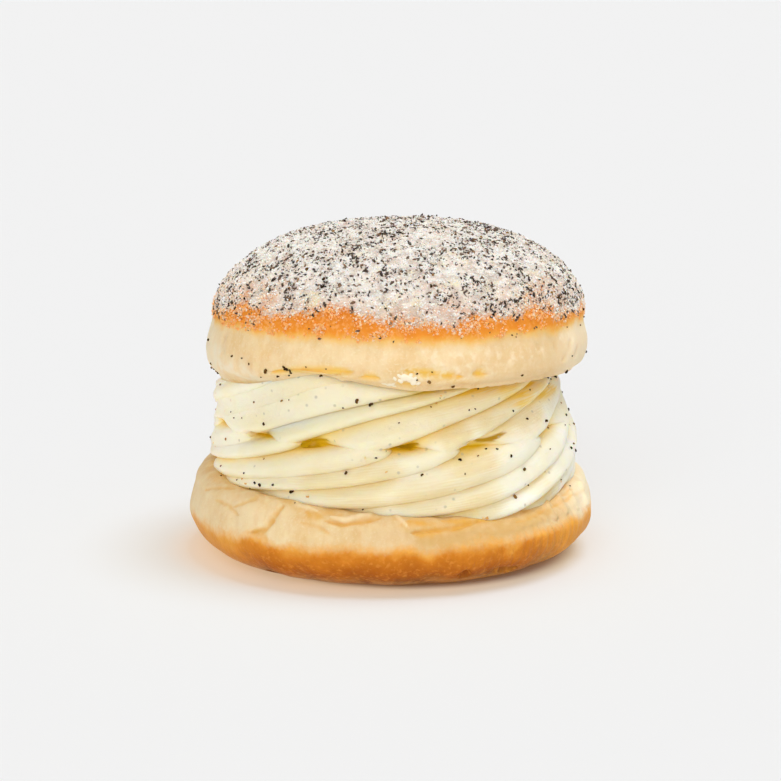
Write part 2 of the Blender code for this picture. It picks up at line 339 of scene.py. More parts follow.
def smoothed(piece, levels):
    """Divides a piece's mesh into a smooth surface."""
    bpy.context.view_layer.objects.active = piece
    rounding = piece.modifiers.new("smooth", "SUBSURF")
    rounding.levels = levels
    rounding.render_levels = levels
    bpy.ops.object.modifier_apply(modifier=rounding.name)
    piece.data.shade_smooth()


def sculpted(piece, rule):
    """Moves each point of a piece to where the rule sends it."""
    for vertex in piece.data.vertices:
        vertex.co = rule(vertex.co)
    piece.data.update()


def dress(piece, finish):
    """Gives a piece its finish and lets it ride with the doughnut."""
    piece.data.materials.clear()
    piece.data.materials.append(finish)
    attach(piece, "root")


def sight_line(pixel):
    """The direction from the camera to a pixel of the photograph."""
    across = (pixel[0] / PHOTO_SIDE - 0.5) * PHOTO_WIDTH
    down = (pixel[1] / PHOTO_SIDE - 0.5) * PHOTO_WIDTH
    target = AIM + Vector((across, 0, 0)) - camera_up * down
    return (target - camera.location).normalized()


def skin(piece):
    """A piece's surface, ready for finding what the camera sees of it."""
    return BVHTree.FromObject(piece, bpy.context.evaluated_depsgraph_get())


def spot_at(surface, pixel):
    """Where the camera sees the surface at a pixel, and the surface's direction there."""
    place, normal, _, _ = surface.ray_cast(camera.location, sight_line(pixel))
    return place, normal


def point_values(piece, field):
    """The places or the normals of a piece's points, a row each."""
    values = np.empty(len(piece.data.vertices) * 3)
    piece.data.vertices.foreach_get(field, values)
    return values.reshape(-1, 3)


class Lines(NamedTuple):
    """Lines that the photograph shows on a piece: a negative depth stands out."""

    seen: tuple  # pixels, a row for each line
    width: float
    depth: float = 0.0
    wavering: float = 0.9


def nearness(piece, seen, width, wavering):
    """How near each point of a piece is to lines: 1 on them, 0 well away.

    The lines' sides waver, and their ends taper off.
    """
    surface = skin(piece)
    places = point_values(piece, "co")
    near = np.zeros(len(places))
    for line in seen:
        route = [place for place, _ in (spot_at(surface, pixel) for pixel in line) if place]
        lengths = [(end - start).length for start, end in zip(route, route[1:])]
        for turn, (start, end) in enumerate(zip(route, route[1:])):
            start, along = np.array(start), np.array(end - start)
            share = np.clip((places - start) @ along / (along @ along), 0, 1)
            distance = np.linalg.norm(places - start - share[:, None] * along, axis=1)
            done = (sum(lengths[:turn]) + share * lengths[turn]) / sum(lengths)
            taper = np.sqrt(np.clip(4 * done * (1 - done), 0, 1))
            breadth = width * (LINE_END_WIDTH + (1 - LINE_END_WIDTH) * taper)
            near = np.maximum(near, np.exp(-((distance / breadth) ** 2)))
    for spot in np.flatnonzero(near > LEAST_NEAR):
        waver = noise.noise(Vector(places[spot]) * WAVERS_ACROSS)
        near[spot] = min(1.0, max(0.0, near[spot] * (1 + wavering * waver)))
    return near


def lined(piece, kinds):
    """Finds all kinds of lines on a piece, presses each in, and says how near its points are to them."""
    near = {name: nearness(piece, kind.seen, kind.width, kind.wavering) for name, kind in kinds.items()}
    for name, kind in kinds.items():
        moves = point_values(piece, "normal") * (near[name] * kind.depth)[:, None]
        piece.data.vertices.foreach_set("co", (point_values(piece, "co") - moves).ravel())
        piece.data.update()
    return near


def marked(piece, name, near):
    """Keeps the nearness under a name that the piece's material reads."""
    piece.data.attributes.new(name, "FLOAT", "POINT").data.foreach_set("value", near)


def lower_form(place):
    """Lumps, dents, the slope of the cut, its ragged rim and the pleats of the crust."""
    angle, radius = math.atan2(place.y, place.x), math.hypot(place.x, place.y)
    azimuth = math.atan2(place.x, -place.y)
    outward = between(radius, BASE_FLAT_RADIUS, LOWER_RADIUS - LOWER_EDGE_ROUND)
    side = between(radius, LOWER_RADIUS - 2 * LOWER_EDGE_ROUND, LOWER_RADIUS)
    moved = unevenness(angle, place.z, LOWER_SEED) * outward
    moved += unevenness(angle, place.z, LOWER_SEED + 7, DENT_SIZE, DENTS_ACROSS) * side
    low = 1 - between(place.z, BASE_EDGE_HEIGHT, LOWER_WIDEST_HEIGHT)
    moved += unevenness(angle, 0.0, LOWER_SEED + 13, BASE_DENT_SIZE, BASE_DENTS_ACROSS) * low * outward
    wander = noise.noise(Vector((azimuth * PLEAT_BENDS[0], place.z * PLEAT_BENDS[1], LOWER_SEED)))
    pleat = abs(math.sin(PLEATS_ROUND / 2 * azimuth + PLEAT_WANDER * wander)) - PLEAT_LEVEL
    for middle, spread in PLEATED:
        moved += PLEAT_DEPTH * pleat * side * swell(azimuth, middle, spread)
    radius += moved
    x, y = radius * math.cos(angle), radius * math.sin(angle)
    high = between(place.z, LOWER_WIDEST_HEIGHT * 0.5, LOWER_CUT_HEIGHT)
    lift = max(0.0, place.z - LOWER_WIDEST_HEIGHT) / (LOWER_CUT_HEIGHT - LOWER_WIDEST_HEIGHT)
    z = place.z + (lower_cut_height(x, y) - LOWER_CUT_HEIGHT) * min(1.0, lift)
    z += unevenness(angle, 0.0, LOWER_SEED + 3, RIM_WAVE, RIM_WAVES_ACROSS) * high * side
    amount = FILM_LEAST + (1 - FILM_LEAST) * swell(azimuth, *FILM_FRONT, power=4)
    amount += FILM_LUMPS * noise.noise(place * FILM_LUMPS_ACROSS)
    z += FILM_RISE * amount * math.exp(-(((radius - FILM_RADIUS) / FILM_SPREAD) ** 2)) * high
    return Vector((x, y, max(0.0, z)))


lower_outline = [(BASE_INNER_RADIUS, 0.0)]
for turn in quarter(9):
    reach = (LOWER_RADIUS - BASE_FLAT_RADIUS) * math.sin(turn) ** BASE_POWER
    rise = 1 - max(0.0, math.cos(turn)) ** BASE_POWER
    lower_outline.append((BASE_FLAT_RADIUS + reach, LOWER_WIDEST_HEIGHT * rise))
rim_foot = LOWER_CUT_HEIGHT - LOWER_EDGE_ROUND
for share in (0.35, 0.7):
    height = LOWER_WIDEST_HEIGHT + (rim_foot - LOWER_WIDEST_HEIGHT) * share
    lower_outline.append((LOWER_RADIUS - LOWER_RIM_INSET * share**2, height))
for turn in quarter(5):
    radius = LOWER_RADIUS - LOWER_RIM_INSET - LOWER_EDGE_ROUND * (1 - math.cos(turn))
    lower_outline.append((radius, rim_foot + LOWER_EDGE_ROUND * math.sin(turn)))
lower_outline += [(radius, LOWER_CUT_HEIGHT) for radius in (0.038, 0.034, 0.028, 0.020)]

FOLDS_SEEN = (
    ((284, 505), (277, 513), (271, 522), (264, 530), (252, 532)),
    ((412, 533), (430, 531), (455, 528), (478, 521)),
    ((326, 521), (340, 524), (362, 522), (380, 518)),
)
CREASES_SEEN = (
    ((234, 507), (244, 503), (256, 499), (268, 494)),
    ((205, 490), (220, 488), (236, 489)),
    ((216, 500), (228, 505), (238, 515)),
    ((250, 532), (262, 535), (268, 541)),
    ((300, 522), (318, 527), (330, 534)),
    ((516, 522), (528, 519), (544, 510)),
    ((550, 508), (566, 500), (584, 490)),
    ((560, 497), (572, 489)),
)
FILM_EDGES_SEEN = (
    ((283, 497), (300, 506), (318, 512)),
    ((330, 517), (345, 520), (368, 515), (385, 513), (398, 518), (408, 528)),
    ((486, 517), (500, 514), (520, 512)),
)
FILM_SEEN = (
    ((262, 490), (285, 500), (310, 511), (340, 516), (372, 513)),
    ((372, 513), (405, 524), (440, 525), (470, 519), (500, 516), (530, 510)),
    ((415, 530), (445, 528), (470, 522)),
)
AMBER_SEEN = (
    ((306, 512), (322, 518)),
    ((408, 521), (430, 525)),
    ((300, 496), (307, 495)),
    ((340, 508), (365, 512)),
    ((440, 516), (470, 517)),
    ((442, 521), (468, 522), (496, 519)),
    ((414, 534), (436, 534)),
)
NOTCHES_SEEN = (((460, 575), (470, 574)), ((494, 570), (506, 571), (516, 568)), ((268, 571), (284, 575)))
WRINKLES_SEEN = (
    ((556, 492), (560, 502), (566, 514)),
    ((566, 487), (572, 499), (578, 509)),
    ((578, 482), (583, 494), (586, 505)),
    ((545, 500), (548, 510), (556, 519)),
)
DARKER_DOUGH_SEEN = (((418, 541), (450, 540), (485, 533), (520, 524), (548, 512)),)

LOWER_LINES = {
    "crease": Lines(CREASES_SEEN, 0.0005, 0.00022),
    "fold": Lines(FOLDS_SEEN, 0.00065, 0.00060),
    "film_edge": Lines(FILM_EDGES_SEEN, 0.0008, -0.00045, 0.4),
    "wrinkle": Lines(WRINKLES_SEEN, 0.0008, -0.0007),
    "notch": Lines(NOTCHES_SEEN, 0.0011, 0.0014),
    "film": Lines(FILM_SEEN, 0.0016),
    "amber": Lines(AMBER_SEEN, 0.0009),
    "darker_dough": Lines(DARKER_DOUGH_SEEN, 0.0028),
}

lower_half = turned("lower_bun", lower_outline, LOWER_SEGMENTS)
smoothed(lower_half, SMOOTHING)
sculpted(lower_half, lower_form)
reach = np.linalg.norm(point_values(lower_half, "co")[:, :2], axis=1)
near = lined(lower_half, LOWER_LINES)
film_ring = FILM_SHARE * np.exp(-(((reach - FILM_RADIUS) / FILM_SPREAD) ** 2))
marked(lower_half, "fold", np.maximum(near["fold"], near["amber"]))
marked(lower_half, "film", np.maximum(near["film"], film_ring))
for name in ("film_edge", "darker_dough", "crease"):
    marked(lower_half, name, near[name])

DOUGH_LIGHT = paint("F2DAAB")
DOUGH_DEEP = paint("E2B877")
DOUGH_FLECK_AND_LIT = paint("FBE8C4")
DOUGH_DARKER = paint("D6AE6E")
DOUGH_SHADE = paint("D2B084")
DOUGH_WHITE = paint("FFF4D8")
FILM_AMBER = paint("E5AC48")
FILM_PALE_HIGHLIGHT = paint("FFF2D2")
CRUST_GOLD = paint("F0AC48")
CRUST_ORANGE = paint("D68220")
CRUST_BROWN = paint("B05E10")
CRUST_DARK = paint("5E2C08")
CRUST_FLECK = paint("F0A548")
BASE_CRUST_EDGE = 0.0098  # how high the fried base reaches at the front
BASE_CRUST_FALL = 0.020  # how much lower it is for each metre to the left and back
BASE_CRUST_RAGGED = 0.0056
BASE_CRUST_DEPTH = 0.0112  # how far down it takes to turn from gold to dark
DOUGH_SHEEN = {
    "IOR": 1.42,
    "Specular IOR Level": 0.15,
    "Subsurface Weight": 0.25,
    "Subsurface Scale": 0.0025,
}
DOUGH_GLOW = (1.0, 0.55, 0.25)
DOUGH_GRAIN = 0.00026  # how deep its pores are


def mottle(place, size, detail=2.0, stretch=None):
    """Cloudy noise about a half, with patches of the given size."""
    if stretch:
        place = place.node("VectorMath", {0: place, 1: stretch}, output=0, operation="MULTIPLY")
    return place.node("TexNoise", {"Vector": place, "Scale": 1 / size, "Detail": detail})


def pale_dough(place, light, deep, fleck):
    """The dough's skin: warm clouds and faint upright strokes, with fine flecks of dry flour."""
    clouds = mottle(place, 0.008, 4.0).rising(0.36, 0.68)
    strokes = mottle(place, 0.0016, 3.0, (1, 1, 0.35)).rising(0.3, 0.75)
    flecks = mottle(place, 0.0005, 3.0).rising(0.5, 0.75)
    skin_tone = (clouds * 0.6 + strokes * 0.4).blend(light, deep)
    return (flecks * 0.35).blend(skin_tone, fleck)


lower_finish, start, shader = new_finish("fried_base", DOUGH_SHEEN)
shader.inputs["Subsurface Radius"].default_value = DOUGH_GLOW
place = start.place()
across = place.axis("X")
deep = place.axis("Y")
height = place.axis("Z")
ragged = (mottle(place, 0.010, 1.0) - 0.5) * BASE_CRUST_RAGGED
ragged = ragged + (mottle(place, 0.0016, 3.0, (1, 1, 0.5)) - 0.5) * (BASE_CRUST_RAGGED * 0.16)
edge = BASE_CRUST_EDGE + (across - deep * 0.4) * BASE_CRUST_FALL + ragged
fried = (edge - height) * (1 / BASE_CRUST_DEPTH) + 0.1
# Down towards the base the crust turns from gold to dark: the deeper browning of the base, and at the
# very bottom partly painted shade where it meets the table.
crust = (fried + (mottle(place, 0.0045, 4.0) - 0.5) * 0.6).ramp(
    (0.05, CRUST_GOLD), (0.25, CRUST_ORANGE), (0.60, CRUST_BROWN), (0.97, CRUST_DARK)
)
crust = (mottle(place, 0.0010, 4.0).rising(0.50, 0.72) * 0.38).blend(crust, CRUST_FLECK)
# Painted light: the crust is painted more golden towards its left and right sides, where the light falls
# off.
crust = ((across * across).rising(0.0006, 0.0016) * 0.6).blend(crust, CRUST_GOLD)
browned = (fried + (mottle(place, 0.0009, 4.0) - 0.5) * 0.16).rising(-0.08, 0.20)
# Darker along the right front of the rim.
darker_dough = start.mark("darker_dough")
pale = pale_dough(place, DOUGH_LIGHT, DOUGH_DEEP, DOUGH_FLECK_AND_LIT)
# Painted light and shade: the pale dough is painted lighter towards the left and darker towards the
# right. It is whiter towards the right rim.
pale = ((1 - across.rising(-0.036, -0.008)) * 0.35).blend(pale, DOUGH_FLECK_AND_LIT)
pale = (across.rising(-0.020, 0.0) * 0.34).blend(pale, DOUGH_SHADE)
pale = ((across + height * 0.5).rising(0.042, 0.050) * 0.75).blend(pale, DOUGH_WHITE)
dough = (darker_dough * 0.8).blend(pale, DOUGH_DARKER)
creased = start.mark("crease")
dough = (creased * 0.45).blend(dough, FILM_AMBER)
dough = browned.blend(dough, crust)
filmed = start.mark("film")
filmed = filmed * mottle(place, 0.0028, 3.0).rising(0.25, 0.6)
dough = (filmed * 0.55).blend(dough, FILM_AMBER)
folded = start.mark("fold")
dough = (folded * 0.7).blend(dough, FILM_AMBER)
# The raised film edges are painted paler: partly the film's own colour, and partly a painted highlight
# along the ridge.
edged = start.mark("film_edge")
dough = (edged.rising(0.1, 1.0) * 0.42).blend(dough, FILM_PALE_HIGHLIGHT)
pores = mottle(place, 0.0011, 3.0)
fine = mottle(place, 0.00045, 2.0)
drawn = mottle(place, 0.0010, 2.0, (1, 1, 0.16)) * across.rising(0.004, 0.022) * browned * 1.6
relief = (pores * 0.7 + fine * 0.3 + drawn).bumps(DOUGH_GRAIN)
roughness = 0.62 - browned * 0.17 - filmed * 0.2
feed(shader, {"Base Color": dough, "Roughness": roughness, "Normal": relief})
dress(lower_half, lower_finish)
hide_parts("bottom_bun")


# The cream: two stacked rings of butter cream flecked with poppy, piped with a star nozzle. Each strand
# winds up and round, its back flat and its edges rolled down into the groove beside the next.

CREAM_RADIUS = 0.0392
CREAM_LOWER_SWELL = 0.0018
CREAM_UPPER_DRAW = 0.0010  # how much narrower the upper ring is where the bun lies on it
CREAM_UPPER_X = -0.0013
CREAM_LOWER_X = 0.0013
STRANDS = 13
COLUMNS_ON_STRAND = 26
LEVELS_ON_TIER = 34
FRONT_GROOVES = (-46, -27, 4, 25, 59)  # degrees right of the front where a groove meets the crease
TIERS = 2
LOWER_TURN = math.radians(84)
UPPER_TURN = math.radians(66)
TURN_POWER = 1.35
LAST_SECTION = math.radians(70)
CREASE_SHARE = 0.585
CREASE_SHARE_TILT = 0.06
CREAM_DRAWN = (CREASE_SHARE - 0.02, CREASE_SHARE + 0.16)  # between these the cream draws in
LOBE_POWERS = (2.0, 0.95)
STRAND_LEAN = 0.24  # how far a strand's back sags over the groove below it
GROOVE_DEPTH = 0.0016
GROOVE_SHARES = (0.75, 1.25)
POCKET_DEPTH = 0.0026
POCKET_WIDTH = 0.30  # share of a strand that a pocket opens into
POCKET_WARMTH = 0.45  # how much of a groove's painted shade comes of its pocket
FOOT_WARMTH = 0.7  # how much the foot of the cream, which lies in shade, takes the painted shade and glow of its grooves
CREASE_DEPTH = 0.00006
UPPER_GROOVE_SHARES = {10: 0.15, 11: 0.12, 12: 0.08, 6: 0.3}  # grooves shallower above the crease
LOWER_GROOVE_SHARES = {0: 0.15, 2: 0.45, 12: 0.45, 8: 0.3}  # and below it
FADE = {"across": 2.6, "low": 0.10, "high": 0.40, "share": 0.6}  # where grooves run out
END_DEPTH = 0.0024
SQUEEZED = ((40, 24, 0.8), (-48, 34, 0.9))  # where and how much the foot and the top bulge out
DRAW_IN_POWER = 2.4
STRAND_REACH = 0.0006
STRAND_DRAW = 5
CREAM_LUMP_SIZE = 0.0009
CREAM_LUMPS_ACROSS = 1.3
CREAM_RIPPLE_SIZE = 0.00016
CREAM_RIPPLES_ACROSS = 16.0
CREAM_SEED = 23.0
CREAM_CAP_RADIUS = 0.024
DRUM_CAP = 0.6  # where that is on the plain drum that is wound into the swirl
WAVE_POWER = 7  # the cut's waves only move the cream that touches it
CREAM_SINK = 0.0004  # how far the cream presses into the bun above and below it
SHARPEST_TURN = math.radians(65)  # where faces meet more sharply, the cream shows an edge
UPPER_CUT_HEIGHT = 0.0391
UPPER_CUT_SLOPE = (0.025, -0.105)
UPPER_CUT_WAVED = (0.028, 0.040)  # the radii between which its waves set in
UPPER_CUT_WAVES = (
    (-25, 15, 0.0030),
    (8, 9, -0.0008),
    (23, 13, -0.0005),
    (-160, 16, 0.0010),
    (110, 20, 0.0008),
)  # azimuth and spread in degrees, and rise


def upper_cut_height(x, y, waved=True):
    height = UPPER_CUT_HEIGHT + UPPER_CUT_SLOPE[0] * x + UPPER_CUT_SLOPE[1] * y
    if not waved:
        return height
    outward = between(math.hypot(x, y), *UPPER_CUT_WAVED)
    return with_waves(height, math.atan2(x, -y), UPPER_CUT_WAVES, outward)


def groove_angles():
    """Where each groove meets the crease: as seen at the front, and evenly spread round the back."""
    hidden = STRANDS - len(FRONT_GROOVES)
    last, first = FRONT_GROOVES[-1], FRONT_GROOVES[0] + 360
    spread = [last + (first - last) * (i + 1) / (hidden + 1) for i in range(hidden)]
    angles = [math.radians(azimuth - 90) for azimuth in (*FRONT_GROOVES, *spread)]
    return angles + [angles[0] + 2 * math.pi]


chance = random.Random(STRAND_DRAW)
strand_reach = [chance.uniform(-STRAND_REACH, STRAND_REACH) for _ in range(STRANDS)]
groove_depths = [chance.uniform(*GROOVE_SHARES) for _ in range(STRANDS)]
upper_depths = [depth * UPPER_GROOVE_SHARES.get(i, 1.0) for i, depth in enumerate(groove_depths)]
lower_depths = [depth * LOWER_GROOVE_SHARES.get(i, 1.0) for i, depth in enumerate(groove_depths)]
grooves = groove_angles()
cream_levels = TIERS * LEVELS_ON_TIER


def piped(place):
    """Winds a point of a plain drum into the swirl, and says how deep in a groove it ends up and how far
    it is under the edge of a strand.
    """
    strand_turn = (math.atan2(place.y, place.x) / (2 * math.pi) % 1.0) * STRANDS
    strand = int(strand_turn + 1e-4) % STRANDS
    slot = math.sin(math.pi / 2 * (2 * max(0.0, strand_turn - strand) - 1))
    level = place.z / cream_levels * TIERS
    tier = min(TIERS - 1, int(level))
    section = (2 * (level - tier) - 1) * LAST_SECTION
    draw_in = (abs(section) / LAST_SECTION) ** DRAW_IN_POWER
    at_end = (tier == 0 and section < 0) or (tier == TIERS - 1 and section > 0)
    open_width = 0.0 if at_end else POCKET_WIDTH * draw_in**1.5
    across = min(1.0, abs(slot) / (1 - open_width))
    lobe = (1 - across ** LOBE_POWERS[0]) ** LOBE_POWERS[1]
    rise = 0.5 + 0.5 * math.sin(section) / math.sin(LAST_SECTION)
    turn = UPPER_TURN * rise**TURN_POWER if tier else -LOWER_TURN * (1 - rise) ** TURN_POWER
    leaning = (slot + 1) / 2 + STRAND_LEAN * lobe * (1 - lobe * 0.5)
    angle = grooves[strand] + (grooves[strand + 1] - grooves[strand]) * leaning + turn
    crease = CREASE_SHARE + CREASE_SHARE_TILT * math.sin(angle)
    share = crease + (1 - crease) * rise if tier else crease * rise
    drift = noise.noise(Vector((math.cos(angle), math.sin(angle), share * 1.4)) * FADE["across"])
    smooth = FADE["share"] * between(drift, FADE["low"], FADE["high"]) * (1 - draw_in)
    lobe += (1 - lobe) * smooth
    whole, tier_depths = groove_depths, upper_depths if tier else lower_depths
    here, ahead = strand, (strand + 1) % STRANDS
    side = between(slot, -0.5, 0.5)
    at_crease = whole[here] + (whole[ahead] - whole[here]) * side
    beyond = tier_depths[here] + (tier_depths[ahead] - tier_depths[here]) * side
    depth_share = beyond + (at_crease - beyond) * (0.0 if at_end else draw_in)
    radius = CREAM_RADIUS + CREAM_LOWER_SWELL * (1 - share)
    radius -= CREAM_UPPER_DRAW * between(share, *CREAM_DRAWN)
    radius += strand_reach[strand] * lobe
    middle, spread, amount = SQUEEZED[tier]
    squeezed = amount * swell(angle + math.pi / 2, middle, spread)
    radius -= draw_in * (END_DEPTH * (1 - squeezed) if at_end else CREASE_DEPTH)
    pocket = 0.0 if at_end else POCKET_DEPTH * draw_in
    radius -= (1 - lobe) * (GROOVE_DEPTH + pocket) * depth_share
    height = share * UPPER_CUT_HEIGHT
    radius += unevenness(angle, height, CREAM_SEED, CREAM_LUMP_SIZE, CREAM_LUMPS_ACROSS)
    radius += unevenness(angle, height, CREAM_SEED + 9, CREAM_RIPPLE_SIZE, CREAM_RIPPLES_ACROSS)
    from_middle = math.hypot(place.x, place.y)
    if from_middle < (DRUM_CAP + 1) / 2:
        radius = CREAM_CAP_RADIUS * from_middle / DRUM_CAP
    x = radius * math.cos(angle) + CREAM_LOWER_X + (CREAM_UPPER_X - CREAM_LOWER_X) * share
    y = radius * math.sin(angle)
    low = lower_cut_height(x, y) - CREAM_SINK
    high = upper_cut_height(x, y, waved=False) + CREAM_SINK
    wave = (upper_cut_height(x, y) + CREAM_SINK - high) * share**WAVE_POWER
    depth = (1 - POCKET_WARMTH) * min(1.0, depth_share) + pocket / POCKET_DEPTH * POCKET_WARMTH
    depth *= 1 - lobe
    if at_end and tier == 0:
        depth = min(1.0, depth + FOOT_WARMTH * draw_in**2)
    under = max(0.0, slot) ** 2 * lobe * depth_share
    return Vector((x, y, low + (high - low) * share + wave)), depth, under


drum = [(1.0, float(level)) for level in range(cream_levels + 1)]
drum = [(DRUM_CAP, 0.0), *drum, (DRUM_CAP, float(cream_levels))]
cream = turned("piped_cream", drum, STRANDS * COLUMNS_ON_STRAND)
cream_depth = cream.data.attributes.new("groove", "FLOAT", "POINT")
cream_under = cream.data.attributes.new("underside", "FLOAT", "POINT")
for vertex, depth, under in zip(cream.data.vertices, cream_depth.data, cream_under.data):
    vertex.co, depth.value, under.value = piped(vertex.co)
cream.data.update()
bpy.ops.object.shade_smooth_by_angle(angle=SHARPEST_TURN)

CREAM_SHADE_SEEN = (
    ((432, 392), (470, 391), (505, 389), (535, 382), (560, 375)),
    ((505, 398), (530, 392), (550, 386), (563, 378)),
    ((515, 406), (530, 400), (556, 388)),
    ((410, 392), (440, 388), (480, 390)),
)
POCKETS_SEEN = (
    ((466, 443), (480, 442), (492, 439), (506, 431)),
    ((482, 443), (491, 442), (498, 438)),
    ((397, 447), (408, 447), (418, 444)),
    ((302, 445), (314, 444), (328, 441)),
    ((248, 433), (258, 433)),
)
# Bands where the cream lies in shade, which are painted darker and warmer.
CREAM_SHADED_SEEN = (
    ((385, 402), (430, 402), (480, 400), (520, 395)),
    ((300, 484), (350, 480), (400, 472)),
    ((440, 438), (470, 432)),
    ((478, 424), (500, 424), (522, 420), (540, 410)),
    ((330, 492), (348, 491)),
    ((395, 503), (425, 498), (455, 490)),
    ((455, 474), (475, 468), (495, 458)),
    ((345, 506), (380, 506)),
    ((460, 508), (500, 503)),
    ((538, 500), (556, 491), (572, 478)),
)
for kinds in (
    {"shade": Lines(CREAM_SHADE_SEEN, 0.0013), "pocket": Lines(POCKETS_SEEN, 0.0007, 0.0009, 0.2)},
    {"warm": Lines(CREAM_SHADED_SEEN, 0.0040)},
):
    for name, near in lined(cream, kinds).items():
        marked(cream, name, near)

CREAM_LIGHT = paint("F7EFD4")
CREAM_WARM = paint("F4E3B2")
CREAM_SHADED = paint("E8D49E")
CREAM_SHADE = paint("F0CB58")
CREAM_AMBER = paint("DDB21C")
CREAM_POCKET_SHADE = paint("C29206")
CREAM_WHITE = paint("FFFBEE")
CREAM_GLOW = (0.09, 0.066, 0.002, 1)  # a painted glow beside a groove, for light coming through the thin cream
CREAM_SIDE_GLOW = (0.11, 0.078, 0.012, 1)  # and a painted glow on the front of the left side, which lightens it
CREAM_SPECK = paint("B9B39E")
CREAM_GRAIN = 0.00022
SPECKS_APART = 0.0019  # ground seeds that lie buried in the cream
CREAM_SHEEN = {
    "Roughness": 0.42,
    "IOR": 1.45,
    "Specular IOR Level": 0.35,
    "Subsurface Weight": 0.55,
    "Subsurface Scale": 0.0030,
    "Subsurface Radius": (1.0, 0.72, 0.26),
    "Emission Strength": 1.0,
}


def spots_apart(place, size):
    """How far each point is from the nearest of scattered spots, and a random number for that spot."""
    cells = {"Vector": place, "Scale": 1 / size}
    lots = place.node("TexVoronoi", cells, output="Color")
    return place.node("TexVoronoi", cells, output="Distance"), place.node("SeparateColor", {0: lots})


cream_finish, start, shader = new_finish("butter_cream", CREAM_SHEEN)
place = start.place()
groove = start.mark("groove")
underside = start.mark("underside")
clouds = mottle(place, 0.010, 2.0).rising(0.35, 0.7)
warm = start.mark("warm")
across = place.axis("X")
# Painted light: the cream is painted whiter towards the right and, less, towards the left.
right = across.rising(0.012, 0.034)
left = 1 - across.rising(-0.038, -0.024)
body = (clouds * 0.35).blend((right + left * 0.6).blend(CREAM_LIGHT, CREAM_WHITE), CREAM_WARM)
# Painted shade in those bands.
body = (warm * 0.7).blend(body, CREAM_SHADED)
shaded = start.mark("shade")
# Painted shade and glow: yellow under the strands' edges, in the grooves and in the shadow under the
# upper half, amber in the deep grooves, and dark in the pockets.
body = (underside * 0.35 + groove.rising(0.14, 0.60) * 0.52 + shaded * 0.85).blend(body, CREAM_SHADE)
body = groove.rising(0.50, 0.85).blend(body, CREAM_AMBER)
pocket = start.mark("pocket")
body = pocket.rising(0.2, 0.8).blend(body, CREAM_POCKET_SHADE)
# The glow is painted light: in the grooves, in the shade under the upper half, and on the front of the
# left side.
glow = (groove.rising(0.45, 0.85) + groove.rising(0.14, 0.5) * 0.12 + shaded * 0.35).blend(
    (0, 0, 0, 1), CREAM_GLOW
)
deep = place.axis("Y")
glow = (left * (1 - deep.rising(-0.012, 0.010))).blend(glow, CREAM_SIDE_GLOW)
near, lot = spots_apart(place, SPECKS_APART)
buried = (1 - near.rising(0.08, 0.26)) * lot.rising(0.80, 0.86)
body = (buried * 0.6).blend(body, CREAM_SPECK)
relief = (mottle(place, 0.0011, 3.0) * 0.7 + mottle(place, 0.0004, 2.0) * 0.3).bumps(CREAM_GRAIN)
feed(shader, {"Base Color": body, "Normal": relief, "Emission Color": glow})
dress(cream, cream_finish)
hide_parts("cream_swirl")


# The upper half of the bun: the same dough, fried to an orange crust on its domed crown and pale below,
# lying tilted on the cream. The crown is rolled in sugar while it is wet, which cakes into a rough coat.

UPPER_SEGMENTS = 96
UPPER_RADIUS = 0.0424
UPPER_WIDEST_HEIGHT = 0.0462
UPPER_SIDE_HEIGHT = 0.0196
UPPER_EDGE_ROUND = 0.0016
DOME_HEIGHT = 0.0268
DOME_POWER = 0.8
CRUST_HEIGHT = 0.0522
CRUST_WAIST = 0.0008
CRUST_WAIST_SPREAD = 0.0030
UPPER_OFFSET_X = 0.0009
UPPER_LEAN_X = 0.0022
UPPER_SEED = 11.0
SUGAR_EDGE = 0.0570  # where the dense sugar ends
SUGAR_WAVES = (
    (20, 12, -0.0015),
    (-14, 9, 0.0009),
    (-74, 20, -0.0022),
    (78, 20, -0.0020),
    (160, 25, 0.0014),
)  # how that edge rises and sinks
SUGAR_RAGGED = ((0.0016, 130.0), (0.0014, 420.0))  # and how ragged it is there
SUGAR_FADE = (0.0014, 0.0030)  # how far below and above that edge it thins out
WORN_PATCHES = (
    (-50, 17, 0.0610, 0.0030, 0.28),
    (-22, 11, 0.0595, 0.0016, 0.28),
    (50, 16, 0.0612, 0.0030, 0.28),
    (-85, 14, 0.0600, 0.0025, 0.25),
    (120, 25, 0.0612, 0.0035, 0.30),
    (-150, 30, 0.0605, 0.0030, 0.30),
)  # azimuth and spread in degrees, height, how tall, and how much of the sugar has gone
WORN_SPOTS_ACROSS = 300.0
SUGAR_CAKE = 0.00045  # how far the caked sugar stands out
SUGAR_CAKES_ACROSS = 15.0
SUGAR_ROUGH = 0.00022
SUGAR_ROUGH_ACROSS = 46.0


def upper_centre_x(height):
    lift = max(0.0, height - UPPER_WIDEST_HEIGHT) / DOME_HEIGHT
    return UPPER_OFFSET_X + UPPER_LEAN_X * lift


def crown_cover(place):
    """0 on the bare crust, and 1 on the crown that was rolled in sugar and poppy."""
    edge = with_waves(SUGAR_EDGE, math.atan2(place.x, -place.y), SUGAR_WAVES)
    for size, across in SUGAR_RAGGED:
        edge += size * noise.noise(place * across)
    return between(place.z, edge - SUGAR_FADE[0], edge + SUGAR_FADE[1])


def sugar_cover(place):
    """How thickly the sugar lies there: it has worn thin in patches."""
    azimuth = math.atan2(place.x, -place.y)
    worn = 0.0
    for middle, spread, height, tall, share in WORN_PATCHES:
        up = (place.z - height) / tall
        worn = max(worn, share * swell(azimuth, middle, spread) * math.exp(-(up**2)))
    return crown_cover(place) * (1 - worn * (1 + noise.noise(place * WORN_SPOTS_ACROSS)))


